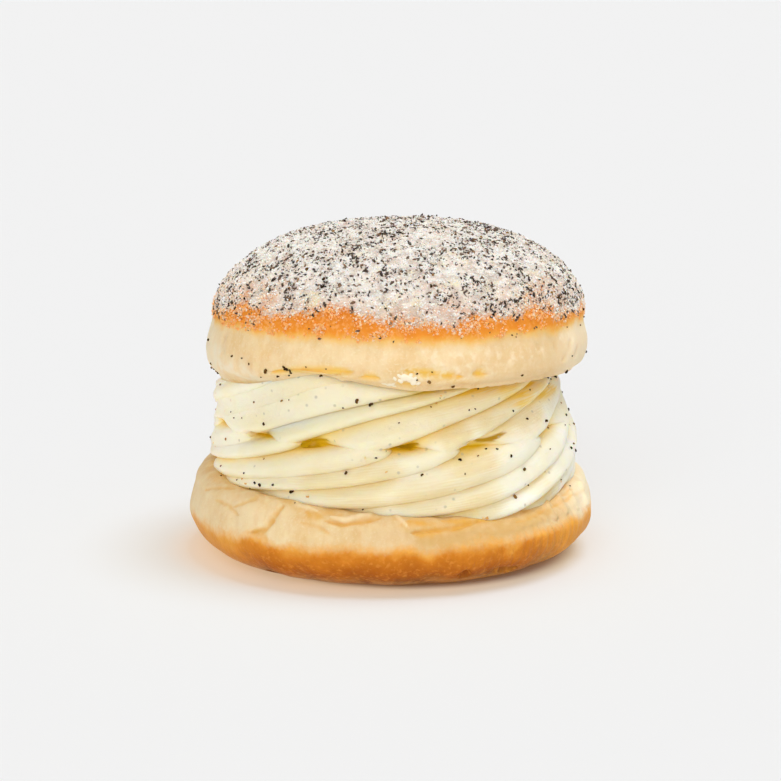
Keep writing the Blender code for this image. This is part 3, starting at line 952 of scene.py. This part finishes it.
def upper_form(place):
    """Lumps, the tilt of the cut, the waist under the crust, and the caked sugar on the crown."""
    angle, radius = math.atan2(place.y, place.x), math.hypot(place.x, place.y)
    outward = between(radius, 0.0, UPPER_RADIUS * 0.8)
    moved = unevenness(angle, place.z, UPPER_SEED) * outward
    moved += unevenness(angle, place.z, UPPER_SEED + 5, DENT_SIZE * 0.8, DENTS_ACROSS) * outward
    moved -= CRUST_WAIST * math.exp(-(((place.z - CRUST_HEIGHT) / CRUST_WAIST_SPREAD) ** 2)) * outward
    radius += moved
    x, y = radius * math.cos(angle), radius * math.sin(angle)
    depth = max(0.0, UPPER_WIDEST_HEIGHT - place.z) / (UPPER_WIDEST_HEIGHT - UPPER_CUT_HEIGHT)
    z = place.z + (upper_cut_height(x, y) - UPPER_CUT_HEIGHT) * min(1.0, depth)
    return Vector((x + upper_centre_x(place.z), y, z))


upper_outline = [(radius, UPPER_CUT_HEIGHT) for radius in (0.020, 0.028, 0.034)]
drop = (UPPER_WIDEST_HEIGHT - UPPER_CUT_HEIGHT) / UPPER_SIDE_HEIGHT
foot_radius = UPPER_RADIUS * math.sqrt(1 - drop * drop)
for turn in quarter(3):
    radius = foot_radius - UPPER_EDGE_ROUND * (1 - math.sin(turn))
    upper_outline.append((radius, UPPER_CUT_HEIGHT + UPPER_EDGE_ROUND * (1 - math.cos(turn))))
side_foot = UPPER_CUT_HEIGHT + UPPER_EDGE_ROUND
for share in (0.25, 0.5, 0.75, 1.0):
    height = side_foot + (UPPER_WIDEST_HEIGHT - side_foot) * share
    drop = (UPPER_WIDEST_HEIGHT - height) / UPPER_SIDE_HEIGHT
    upper_outline.append((UPPER_RADIUS * math.sqrt(1 - drop * drop), height))
for turn in quarter(28)[1:-1]:
    height = UPPER_WIDEST_HEIGHT + DOME_HEIGHT * math.sin(turn) ** DOME_POWER
    upper_outline.append((UPPER_RADIUS * math.cos(turn) ** DOME_POWER, height))

upper_half = turned("upper_bun", upper_outline, UPPER_SEGMENTS)
smoothed(upper_half, SMOOTHING)
sculpted(upper_half, upper_form)
sugar_mark = upper_half.data.attributes.new("sugar", "FLOAT", "POINT")
smooth_normals = [vertex.normal.copy() for vertex in upper_half.data.vertices]
for vertex, normal, mark in zip(upper_half.data.vertices, smooth_normals, sugar_mark.data):
    mark.value = sugar_cover(vertex.co)
    caked = SUGAR_CAKE * noise.noise(vertex.co / LOWER_RADIUS * SUGAR_CAKES_ACROSS)
    caked += SUGAR_ROUGH * noise.noise(vertex.co / LOWER_RADIUS * SUGAR_ROUGH_ACROSS)
    vertex.co += normal * caked * mark.value
upper_half.data.update()

RECESS_SEEN = (
    ((272, 373), (288, 372), (305, 371), (325, 371), (342, 371), (351, 373)),
    ((296, 374), (320, 375), (340, 375)),
    ((362, 378), (372, 378), (378, 380)),
    ((396, 384), (406, 386), (416, 386)),
    ((404, 371), (425, 373), (445, 376), (462, 378)),
    ((474, 374), (486, 374)),
)
SMEAR_SEEN = (((213, 346), (217, 358), (225, 368)), ((222, 366), (240, 374), (262, 379)))
DUSTED_SEEN = (
    ((425, 352), (450, 360), (480, 362), (510, 356), (545, 352)),
    ((400, 372), (430, 376), (470, 374)),
    ((560, 340), (575, 335)),
)
UPPER_CREASES_SEEN = (
    ((546, 332), (554, 341), (557, 352)),
    ((571, 336), (569, 348), (563, 361)),
    ((536, 343), (541, 352)),
    ((578, 345), (574, 358)),
    ((226, 334), (222, 344), (224, 354)),
)
LIP_SEEN = (
    ((462, 386), (480, 386), (500, 384), (525, 380), (545, 376)),
    ((300, 379), (330, 380), (352, 377)),
)
for kinds in (
    {
        "amber": Lines(RECESS_SEEN, 0.0010, 0.0009, 0.25),
        "smear": Lines(SMEAR_SEEN, 0.0030),
        "dusted": Lines(DUSTED_SEEN, 0.0026),
    },
    {"crease": Lines(UPPER_CREASES_SEEN, 0.0007, 0.00035)},
):
    for name, near in lined(upper_half, kinds).items():
        marked(upper_half, name, near)
lined(upper_half, {"lip": Lines(LIP_SEEN, 0.0008, -0.0004)})

UPPER_DOUGH_LIGHT = paint("F7DFB4")
UPPER_DOUGH_DEEP = paint("EBC68C")
UPPER_DOUGH_FLECK_AND_LIT = paint("FFF0D2")
UPPER_DOUGH_SHADE = paint("E0BE8A")
CROWN_GOLD = paint("F8C055")
CROWN_ORANGE = paint("F2962F")
CROWN_BROWN = paint("D87A22")
CROWN_PALE = paint("FFC27C")
EDGE_AMBER = paint("F8C848")
CREAM_SMEAR = paint("F6EAD0")
SUGAR_WHITE = paint("F4EEE6")
SUGAR_PINK = paint("E6C0A8")
SUGAR_STRAW = paint("EBDDB6")
SUGAR_DUST = paint("7E7068")
SUGAR_SHADE = paint("D0BCAE")
CROWN_CRUST_EDGE = 0.0530
CROWN_CRUST_DEPTH = 0.0075
CROWN_CRUST_RAGGED = 0.0022
DUST_APART = 0.0006  # the finest ground poppy in the sugar
SUGAR_GRIT = 0.00025

upper_finish, start, shader = new_finish("sugared_crown", DOUGH_SHEEN)
shader.inputs["Subsurface Radius"].default_value = DOUGH_GLOW
place = start.place()
height = place.axis("Z")
ragged = (mottle(place, 0.009, 3.0) - 0.5) * CROWN_CRUST_RAGGED
fried = (height - CROWN_CRUST_EDGE + ragged) * (1 / CROWN_CRUST_DEPTH)
fried = fried + (mottle(place, 0.003, 4.0) - 0.5) * 0.3
crust = fried.ramp((0.0, CROWN_GOLD), (0.22, CROWN_ORANGE), (1.0, CROWN_BROWN))
granules = mottle(place, 0.0007, 3.0).rising(0.46, 0.66) * mottle(place, 0.004).rising(0.3, 0.6)
crust = (granules * 0.45).blend(crust, CROWN_PALE)
browned = fried.rising(-0.22, 0.16)
pale = pale_dough(place, UPPER_DOUGH_LIGHT, UPPER_DOUGH_DEEP, UPPER_DOUGH_FLECK_AND_LIT)
across = place.axis("X")
# Painted light and shade: the pale dough is painted darker towards the right and in its creases, and
# lighter towards both sides.
right = across.rising(0.008, 0.030)
pale = (right * 0.5).blend(pale, UPPER_DOUGH_SHADE)
pale = ((across * across).rising(0.00105, 0.0016) * 0.6).blend(pale, UPPER_DOUGH_FLECK_AND_LIT)
creased = start.mark("crease")
pale = (creased * 0.4).blend(pale, UPPER_DOUGH_SHADE)
bun = browned.blend(pale, crust)
bun = (start.mark("amber") * 0.85).blend(bun, EDGE_AMBER)
smear = start.mark("smear")
smear = smear * mottle(place, 0.003, 3.0).rising(0.3, 0.6)
bun = (smear * 0.75).blend(bun, CREAM_SMEAR)
dusted = start.mark("dusted")
bun = (dusted * mottle(place, 0.0016, 4.0).rising(0.42, 0.72) * 0.6).blend(bun, UPPER_DOUGH_FLECK_AND_LIT)
cover = start.mark("sugar")
patches = (mottle(place, 0.0032, 3.0) - 0.5) * 1.0 + (mottle(place, 0.0006, 3.0) - 0.5) * 2.0
coat = (cover * 1.2 + patches).rising(0.30, 0.85) * cover.rising(0.0, 0.15)
pinkness = mottle(place, 0.005, 3.0).rising(0.45, 0.72) * 0.6 + (1 - cover) * 0.8
pinkness = pinkness + (1 - height.rising(0.058, 0.067)) * 0.4
sugar = pinkness.rising(0.0, 1.0).blend(SUGAR_WHITE, SUGAR_PINK)
sugar = (mottle(place, 0.0045, 2.0).rising(0.55, 0.7) * 0.7).blend(sugar, SUGAR_STRAW)
near, lot = spots_apart(place, DUST_APART)
dust = (1 - near.rising(0.15, 0.42)) * lot.rising(0.62, 0.72) * mottle(place, 0.005).rising(0.4, 0.62)
sugar = (dust * 0.8).blend(sugar, SUGAR_DUST)
sugar = (0.35 + mottle(place, 0.0016, 3.0).rising(0.34, 0.56) * 0.65).blend(SUGAR_SHADE, sugar)
grit = mottle(place, 0.0005, 3.0) * (0.25 + cover) + mottle(place, 0.0013, 2.0) * 0.5
colour = coat.blend(bun, sugar)
feed(shader, {"Base Color": colour, "Roughness": 0.55 + coat * 0.3, "Normal": grit.bumps(SUGAR_GRIT)})
dress(upper_half, upper_finish)
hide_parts("top_bun")


# The sugar: dry crystals, cube-like and splintered, lying thick on the crown, with strays over the bare
# crust below it, where its orange shines through them. One of each kind is cut, then strewn in many
# sizes and turns.

GRAIN_DRAW = 41
CUBE_SIZE = 0.00030
CUBES = 14000
SPLINTER_SIZE = 0.00026
SPLINTERS = 44000
CRYSTAL_SIZES = (0.5, 1.35)
WARM_SUGAR = (0.0580, 0.0670)  # towards its edge the sugar takes on the colour of the crust
STRAY_SHARE = 0.42  # how thickly sugar lies on the crust just below the coat
STRAY_BAND = 0.0018  # how far below it they stay as thick
STRAY_FALL = 0.0017  # over this height the strays thin out
STRAY_CLUMPS_ACROSS = 380.0
SUGAR_DRIFTS_ACROSS = 240.0
SUGAR_LIFT = (-0.1, 0.45)  # how far a crystal's middle is off the crust, for its kind's size
BARE_SIZE = 0.35  # how much larger the strays are
SUGAR_TONES = (
    (0.0, paint("FFFFFF")),
    (0.40, paint("FFFCF8")),
    (0.60, paint("F8E5D2")),
    (0.80, paint("FACB9C")),
    (1.0, paint("FFB768")),
)  # from clear crystals to those that take the colour of the crust


def surface_faces(piece):
    """A piece's triangles: their corners, directions and areas."""
    mesh = piece.data
    mesh.calc_loop_triangles()
    corners = np.empty(len(mesh.loop_triangles) * 3, np.int64)
    mesh.loop_triangles.foreach_get("vertices", corners)
    points = point_values(piece, "co")[corners.reshape(-1, 3)]
    cross = np.cross(points[:, 1] - points[:, 0], points[:, 2] - points[:, 0])
    doubled = np.linalg.norm(cross, axis=1)
    return points, cross / np.maximum(doubled, 1e-15)[:, None], doubled / 2


def strewn_spots(piece, count, thickness, chance):
    """Spots spread over a piece, more of them where thickness says, with the surface's directions."""
    points, normals, areas = surface_faces(piece)
    middles = points.mean(axis=1)
    shares = areas * np.array([thickness(Vector(middle)) for middle in middles])
    picked = chance.choice(len(areas), count, p=shares / shares.sum())
    u, v = chance.random((2, count))
    u, v = np.where(u + v > 1, 1 - u, u), np.where(u + v > 1, 1 - v, v)
    first, second, third = (points[picked, corner] for corner in range(3))
    spots = first + (second - first) * u[:, None] + (third - first) * v[:, None]
    return spots, normals[picked]


def turns(directions, chance):
    """For each direction three axes at right angles, the third along it, at a random spin."""
    count = len(directions)
    sideways = np.cross(directions, chance.normal(size=(count, 3)))
    sideways /= np.linalg.norm(sideways, axis=1)[:, None]
    return np.stack([sideways, np.cross(directions, sideways), directions], axis=1)


def strewn(name, grain, spots, axes, sizes, tones):
    """One mesh of a grain's copies, each at its spot with its axes and size, and the grain is removed."""
    grain_mesh = grain.data
    grain_mesh.calc_loop_triangles()
    shape = np.array([vertex.co for vertex in grain_mesh.vertices])
    faces = np.array([triangle.vertices for triangle in grain_mesh.loop_triangles])
    copies = np.einsum("vk,nkd->nvd", shape, axes) * sizes[:, None, None] + spots[:, None, :]
    firsts = np.arange(len(spots))[:, None, None] * len(shape)
    mesh = bpy.data.meshes.new(name)
    mesh.from_pydata(copies.reshape(-1, 3), [], (faces[None] + firsts).reshape(-1, 3))
    tone = mesh.attributes.new("tone", "FLOAT", "POINT")
    tone.data.foreach_set("value", np.repeat(tones, len(shape)))
    bpy.data.objects.remove(grain)
    piece = bpy.data.objects.new(name, mesh)
    bpy.context.scene.collection.objects.link(piece)
    return piece


def sugar_thickness(place, strays):
    """Thick on the crown, in drifts, and strays that thin out down the bare crust."""
    if place.z < CROWN_CRUST_EDGE:
        return 0.0
    cover = sugar_cover(place)
    drift = 0.7 + noise.noise(place * SUGAR_DRIFTS_ACROSS)
    falling = min(1.0, math.exp((place.z - SUGAR_EDGE + STRAY_BAND) / STRAY_FALL)) * STRAY_SHARE
    clumps = max(0.0, 0.30 + 1.6 * noise.noise(place * STRAY_CLUMPS_ACROSS))
    return cover**1.4 * max(0.15, drift) + (1 - cover) * falling * strays * clumps * 3


def stretched(*proportions):
    """The new piece, stretched along each axis."""
    bpy.ops.object.mode_set(mode="EDIT")
    bpy.ops.transform.resize(value=proportions)
    bpy.ops.object.mode_set(mode="OBJECT")
    return bpy.context.object


def crystal(faces_round, height):
    """A crystal: a short cut prism, or a splinter where it comes to a point."""
    if faces_round == 4:
        bpy.ops.mesh.primitive_cube_add(size=1)
        return stretched(1.0, 0.8, height)
    bpy.ops.mesh.primitive_cone_add(vertices=faces_round, radius1=0.7, depth=height)
    return bpy.context.object


sugar_finish, start, shader = new_finish(
    "sugar_crystal", {"IOR": 1.54, "Subsurface Weight": 0.2, "Subsurface Scale": 0.0008}
)
tone = start.mark("tone")
clumps = mottle(start.place(), 0.0016, 3.0).rising(0.34, 0.56)
crystal_colour = tone.ramp(*SUGAR_TONES)
shade = (1 - clumps) * (1 - tone.rising(0.45, 0.75)) * 0.55
crystal_colour = shade.blend(crystal_colour, SUGAR_SHADE)
feed(shader, {"Base Color": crystal_colour, "Roughness": 0.22 + tone * 0.3})

for name, count, size, sides, tall, strays in (
    ("sugar_cubes", CUBES, CUBE_SIZE, 4, 0.7, 1.5),
    ("sugar_splinters", SPLINTERS, SPLINTER_SIZE, 3, 1.3, 0.7),
):
    chance = np.random.default_rng(GRAIN_DRAW + sides)
    thickness = partial(sugar_thickness, strays=strays)
    spots, normals = strewn_spots(upper_half, count, thickness, chance)
    spots += normals * size * chance.uniform(*SUGAR_LIFT, count)[:, None]
    tilts = chance.normal(size=(count, 3))
    tilts /= np.linalg.norm(tilts, axis=1)[:, None]
    sizes = size * chance.uniform(*CRYSTAL_SIZES, count)
    bareness = 1 - np.array([sugar_cover(Vector(spot)) for spot in spots])
    sizes *= 1 + BARE_SIZE * bareness
    low = np.array([1 - between(spot[2], *WARM_SUGAR) for spot in spots])
    tones = np.clip(chance.random(count) * 0.55 + bareness * 0.6 + low * 0.13, 0, 1)
    sugar = strewn(name, crystal(sides, tall), spots, turns(tilts, chance), sizes, tones)
    dress(sugar, sugar_finish)


# The poppy seeds: brown, kidney-shaped and about a millimetre long. Most are ground to bits that cling
# among the sugar in clusters. Whole ones lie on the crown, along the cut edges and in the cream.

SEED_SIZE = 0.00100
BIT_SIZE = 0.00056
SEEDS_ON_CROWN = 200
BITS_ON_CROWN = 9950  # as many as a piece may have
SEED_SIZES = (0.65, 1.0)
BIT_SIZES = (0.45, 1.95)
SEED_LIFT = 0.12  # how far the middle of each is off the surface, for its size
BIT_LIFT = (-0.08, 0.2)
POPPY_CLUSTERS_ACROSS = 190.0
POPPY_KNOTS_ACROSS = 420.0
POPPY_DRIFTS_ACROSS = 60.0
PITS_APART = 0.00016
PIT_DEPTH = 0.00004


def poppy_thickness(place):
    """Thick in clusters on the crown, thin along the sugar's edge, and a few on the bare crust."""
    if place.z < CROWN_CRUST_EDGE:
        return 0.0
    cluster = noise.noise(place * POPPY_CLUSTERS_ACROSS) + 0.6 * noise.noise(place * POPPY_KNOTS_ACROSS)
    drift = 0.8 + 0.5 * noise.noise(place * POPPY_DRIFTS_ACROSS)
    return max(0.15, 0.6 + 0.95 * cluster) * max(0.3, drift) * (0.04 + 0.96 * crown_cover(place))


def whole_seed():
    """A kidney-shaped seed, one unit long, nipped at the side where it hung in its pod."""
    bpy.ops.mesh.primitive_uv_sphere_add(segments=8, ring_count=4, radius=0.5)
    seed = stretched(1.0, 0.74, 0.62)
    for vertex in seed.data.vertices:
        nip = math.exp(-((vertex.co.x / 0.16) ** 2)) * max(0.0, vertex.co.y)
        vertex.co.y -= 0.55 * nip
        vertex.co += vertex.normal * 0.03 * noise.noise(vertex.co * 9.0)
    return seed


def seed_bit():
    """A splinter of a ground seed: a small rough lump."""
    bpy.ops.mesh.primitive_ico_sphere_add(subdivisions=1, radius=0.5)
    bit = stretched(1.3, 0.65, 0.42)
    for vertex in bit.data.vertices:
        vertex.co += vertex.co * 0.8 * noise.noise(vertex.co * 4.0)
    return bit


def poppy_coat(name, colours, shine):
    """A seed's pitted coat, its tones evenly from the first colour to the last."""
    finish, start, shader = new_finish(name, {"IOR": 1.45, "Specular IOR Level": shine})
    place = start.place()
    tone = start.mark("tone")
    stops = [(share, paint(colour)) for share, colour in zip((0.0, 0.35, 0.6, 0.8, 1.0), colours)]
    coat = tone.ramp(*stops)
    pits = start.node("TexVoronoi", {"Vector": place, "Scale": 1 / PITS_APART}, output="Distance")
    feed(shader, {"Base Color": coat, "Roughness": 0.4 + pits * 0.3, "Normal": pits.bumps(PIT_DEPTH)})
    return finish


whole_finish = poppy_coat("damp_poppy", ("241400", "3C2804", "563C10", "704A1C", "A0763C"), 0.2)
ground_finish = poppy_coat("ground_poppy", ("271C14", "3F2F24", "5C4C40", "70533E", "9F7C5A"), 0.5)

SEEDS_SEEN = (
    (254, 402, 0.6), (282, 401, 0.7), (289, 400, 0.4), (357, 401, 1.2), (371, 405, 1.15), (343, 408, 0.5),
    (264, 424, 0.9), (226, 439, 0.7), (231, 412, 0.4), (234, 418, 0.5), (242, 418, 0.4), (264, 459, 0.5),
    (221, 466, 0.6), (221, 476, 0.5), (244, 473, 0.6), (237, 480, 0.5), (255, 483, 0.8), (260, 485, 1.0),
    (273, 485, 0.8), (250, 488, 0.4), (292, 492, 1.2), (295, 503, 0.4), (346, 473, 1.0), (376, 458, 0.6),
    (386, 451, 0.3), (363, 509, 0.6), (399, 423, 0.5), (431, 407, 0.5), (530, 390, 0.5), (513, 411, 0.6),
    (469, 410, 0.5), (475, 409, 0.5), (527, 419, 0.7), (546, 421, 1.0), (548, 428, 0.5), (486, 449, 0.6),
    (497, 449, 0.7), (478, 456, 0.5), (460, 460, 0.9), (511, 456, 0.8), (422, 475, 0.8), (465, 474, 0.5),
    (524, 469, 1.2), (550, 449, 0.5), (571, 448, 0.8), (561, 480, 0.5), (528, 485, 0.6), (515, 497, 1.1),
    (545, 472, 0.3), (570, 486, 0.5), (561, 403, 0.5), (566, 415, 0.7), (565, 425, 0.4), (440, 398, 0.3),
    (232, 356, 0.7), (242, 358, 0.5), (249, 364, 0.6), (266, 371, 1.2), (261, 377, 0.4), (278, 376, 0.8),
    (286, 369, 1.1), (284, 367, 0.8), (290, 371, 0.8), (289, 375, 0.6), (291, 373, 0.6), (306, 367, 0.5),
    (326, 369, 0.4), (321, 376, 0.8), (205, 341, 0.9), (208, 361, 0.5), (214, 369, 0.5), (219, 311, 1.0),
    (233, 304, 0.8), (429, 382, 1.1), (417, 374, 0.6), (417, 380, 0.5), (432, 372, 0.5), (453, 386, 0.9),
    (478, 389, 0.5), (522, 375, 0.7), (548, 378, 0.6), (555, 377, 1.0), (566, 371, 1.1), (572, 356, 0.5),
    (580, 325, 0.6), (567, 327, 0.4), (512, 335, 0.5), (516, 337, 0.4), (583, 309, 0.8),
)  # each with its pixels in the photograph and its length in millimetres
SEEDS_ROUND_CREAM = 110  # on its sides and its back
SEEDS_ROUND_EDGE = 60
FRONT_SEEN = math.radians(72)
EDGE_BAND = 0.0035  # how high up the side of the upper half they lie
EDGE_RADII = (0.038, 0.040)


def away_from_front(place):
    return abs(math.atan2(place.x, -place.y)) > FRONT_SEEN


def cream_side(place):
    return float(away_from_front(place) and math.hypot(place.x, place.y) > CREAM_CAP_RADIUS * 1.3)


def cut_edge(place):
    """Thick along the foot of the upper half, thinning out up its side."""
    up = place.z - upper_cut_height(place.x, place.y)
    side = between(math.hypot(place.x, place.y), *EDGE_RADII)
    return away_from_front(place) * math.exp(-up / EDGE_BAND) * side


def seen_spots(things, pieces):
    """Where the camera sees the nearest of the pieces at each thing's pixels, with the surface's
    directions and the things' sizes in metres. A thing seen against the background is left out.
    """
    skins = [skin(piece) for piece in pieces]
    hits = []
    for x, y, millimetres in things:
        found = [spot_at(surface, (x, y)) for surface in skins]
        found = [(place, normal) for place, normal in found if place]
        if found:
            place, normal = min(found, key=lambda hit: (hit[0] - camera.location).length)
            hits.append((place, normal, millimetres / 1000))
    return [np.array(column) for column in zip(*hits)]


def flat_turns(normals, spread, chance):
    """Axes that lie flat on a surface, give or take the spread."""
    tilts = normals + chance.normal(scale=spread, size=(len(normals), 3))
    return turns(tilts / np.linalg.norm(tilts, axis=1)[:, None], chance)


def between_sizes(sizes, count, chance):
    """Random sizes between the two, the small ones more often."""
    return sizes[0] + (sizes[1] - sizes[0]) * chance.random(count) ** 2


chance = np.random.default_rng(GRAIN_DRAW)
seed_sets = [seen_spots(SEEDS_SEEN, (upper_half, cream, lower_half))]
for piece, count, thickness in (
    (upper_half, SEEDS_ON_CROWN, poppy_thickness),
    (cream, SEEDS_ROUND_CREAM, cream_side),
    (upper_half, SEEDS_ROUND_EDGE, cut_edge),
):
    spots, normals = strewn_spots(piece, count, thickness, chance)
    seed_sets.append((spots, normals, SEED_SIZE * between_sizes(SEED_SIZES, count, chance)))
spots, normals, sizes = (np.concatenate(parts) for parts in zip(*seed_sets))
spots += normals * sizes[:, None] * SEED_LIFT
axes = flat_turns(normals, 0.3, chance)
poppy_seeds = strewn("poppy_seeds", whole_seed(), spots, axes, sizes, chance.random(len(spots)))
poppy_seeds.data.shade_smooth()
dress(poppy_seeds, whole_finish)

spots, normals = strewn_spots(upper_half, BITS_ON_CROWN, poppy_thickness, chance)
sizes = BIT_SIZE * between_sizes(BIT_SIZES, BITS_ON_CROWN, chance)
spots += normals * (sizes * chance.uniform(*BIT_LIFT, BITS_ON_CROWN))[:, None]
axes = flat_turns(normals, 0.4, chance)
poppy_bits = strewn("poppy_bits", seed_bit(), spots, axes, sizes, chance.random(BITS_ON_CROWN))
poppy_bits.data.shade_smooth()
dress(poppy_bits, ground_finish)


# The dabs and crumbs: cream that the cut upper half squeezed out, and crumbs of crust that fell on the
# cream and the rim. Each is a small rough lump, half sunk in what carries it.

DABS_SEEN = (
    (390, 385, 3.2), (385, 384, 2.0), (394, 386, 1.8), (400, 381, 1.8), (404, 378, 2.2), (409, 380, 2.4),
    (414, 382, 2.2), (418, 384, 1.4), (399, 376, 1.3), (411, 376, 1.4), (395, 379, 1.2),
)  # each with its pixels in the photograph and its size in millimetres
DAB_COLOUR = paint("FCF0D6")
DAB_SINK = 0.16  # how far a dab has sunk in, for its size
CRUMBS_SEEN = (
    (487, 518, 0.9), (483, 518, 0.6), (308, 497, 0.8), (587, 314, 0.9), (242, 479, 0.6), (246, 484, 0.7),
    (561, 481, 0.6), (254, 403, 0.5), (436, 403, 0.7), (441, 396, 0.5), (365, 458, 0.8), (386, 472, 0.6),
)  # each with its pixels in the photograph and its size in millimetres
CRUMB_SIZES = (0.5, 1.1)
CRUMBS_ROUND = 26
CRUMB_COLOURS = ((0.0, paint("F5DFA8")), (0.5, paint("E8B45C")), (1.0, paint("B8702A")))


def lump(roughness):
    """A lump, one unit across: the rougher, the more it is drawn out of round."""
    bpy.ops.mesh.primitive_ico_sphere_add(subdivisions=3, radius=0.5)
    rough = stretched(1.0, 0.7, 0.5)
    for vertex in rough.data.vertices:
        vertex.co += vertex.co * roughness * noise.noise(vertex.co * (1.5 + 2 * roughness))
    return rough


dab_spots, dab_normals, dab_sizes = seen_spots(DABS_SEEN, (upper_half, cream))
dab_spots -= dab_normals * dab_sizes[:, None] * DAB_SINK
dab_axes = flat_turns(dab_normals, 0.1, chance)
dabs = strewn("cream_dabs", lump(0.3), dab_spots, dab_axes, dab_sizes, chance.random(len(dab_spots)))
dabs.data.shade_smooth()
dab_sheen = {"Base Color": DAB_COLOUR, "Roughness": 0.45, "Specular IOR Level": 0.3}
dab_finish, _, _ = new_finish("dab_of_cream", dab_sheen)
dress(dabs, dab_finish)

crumb_finish, start, shader = new_finish("crumb", {"Roughness": 0.6})
feed(shader, {"Base Color": start.mark("tone").ramp(*CRUMB_COLOURS)})
seen, seen_normals, seen_sizes = seen_spots(CRUMBS_SEEN, (upper_half, cream, lower_half))
spots, normals = strewn_spots(cream, CRUMBS_ROUND, cream_side, chance)
spots, normals = np.concatenate([seen, spots]), np.concatenate([seen_normals, normals])
sizes = np.concatenate([seen_sizes, between_sizes(CRUMB_SIZES, CRUMBS_ROUND, chance) / 1000])
axes = flat_turns(normals, 0.4, chance)
crumbs = strewn("crumbs", lump(0.7), spots, axes, sizes, chance.random(len(spots)))
crumbs.data.shade_smooth()
dress(crumbs, crumb_finish)
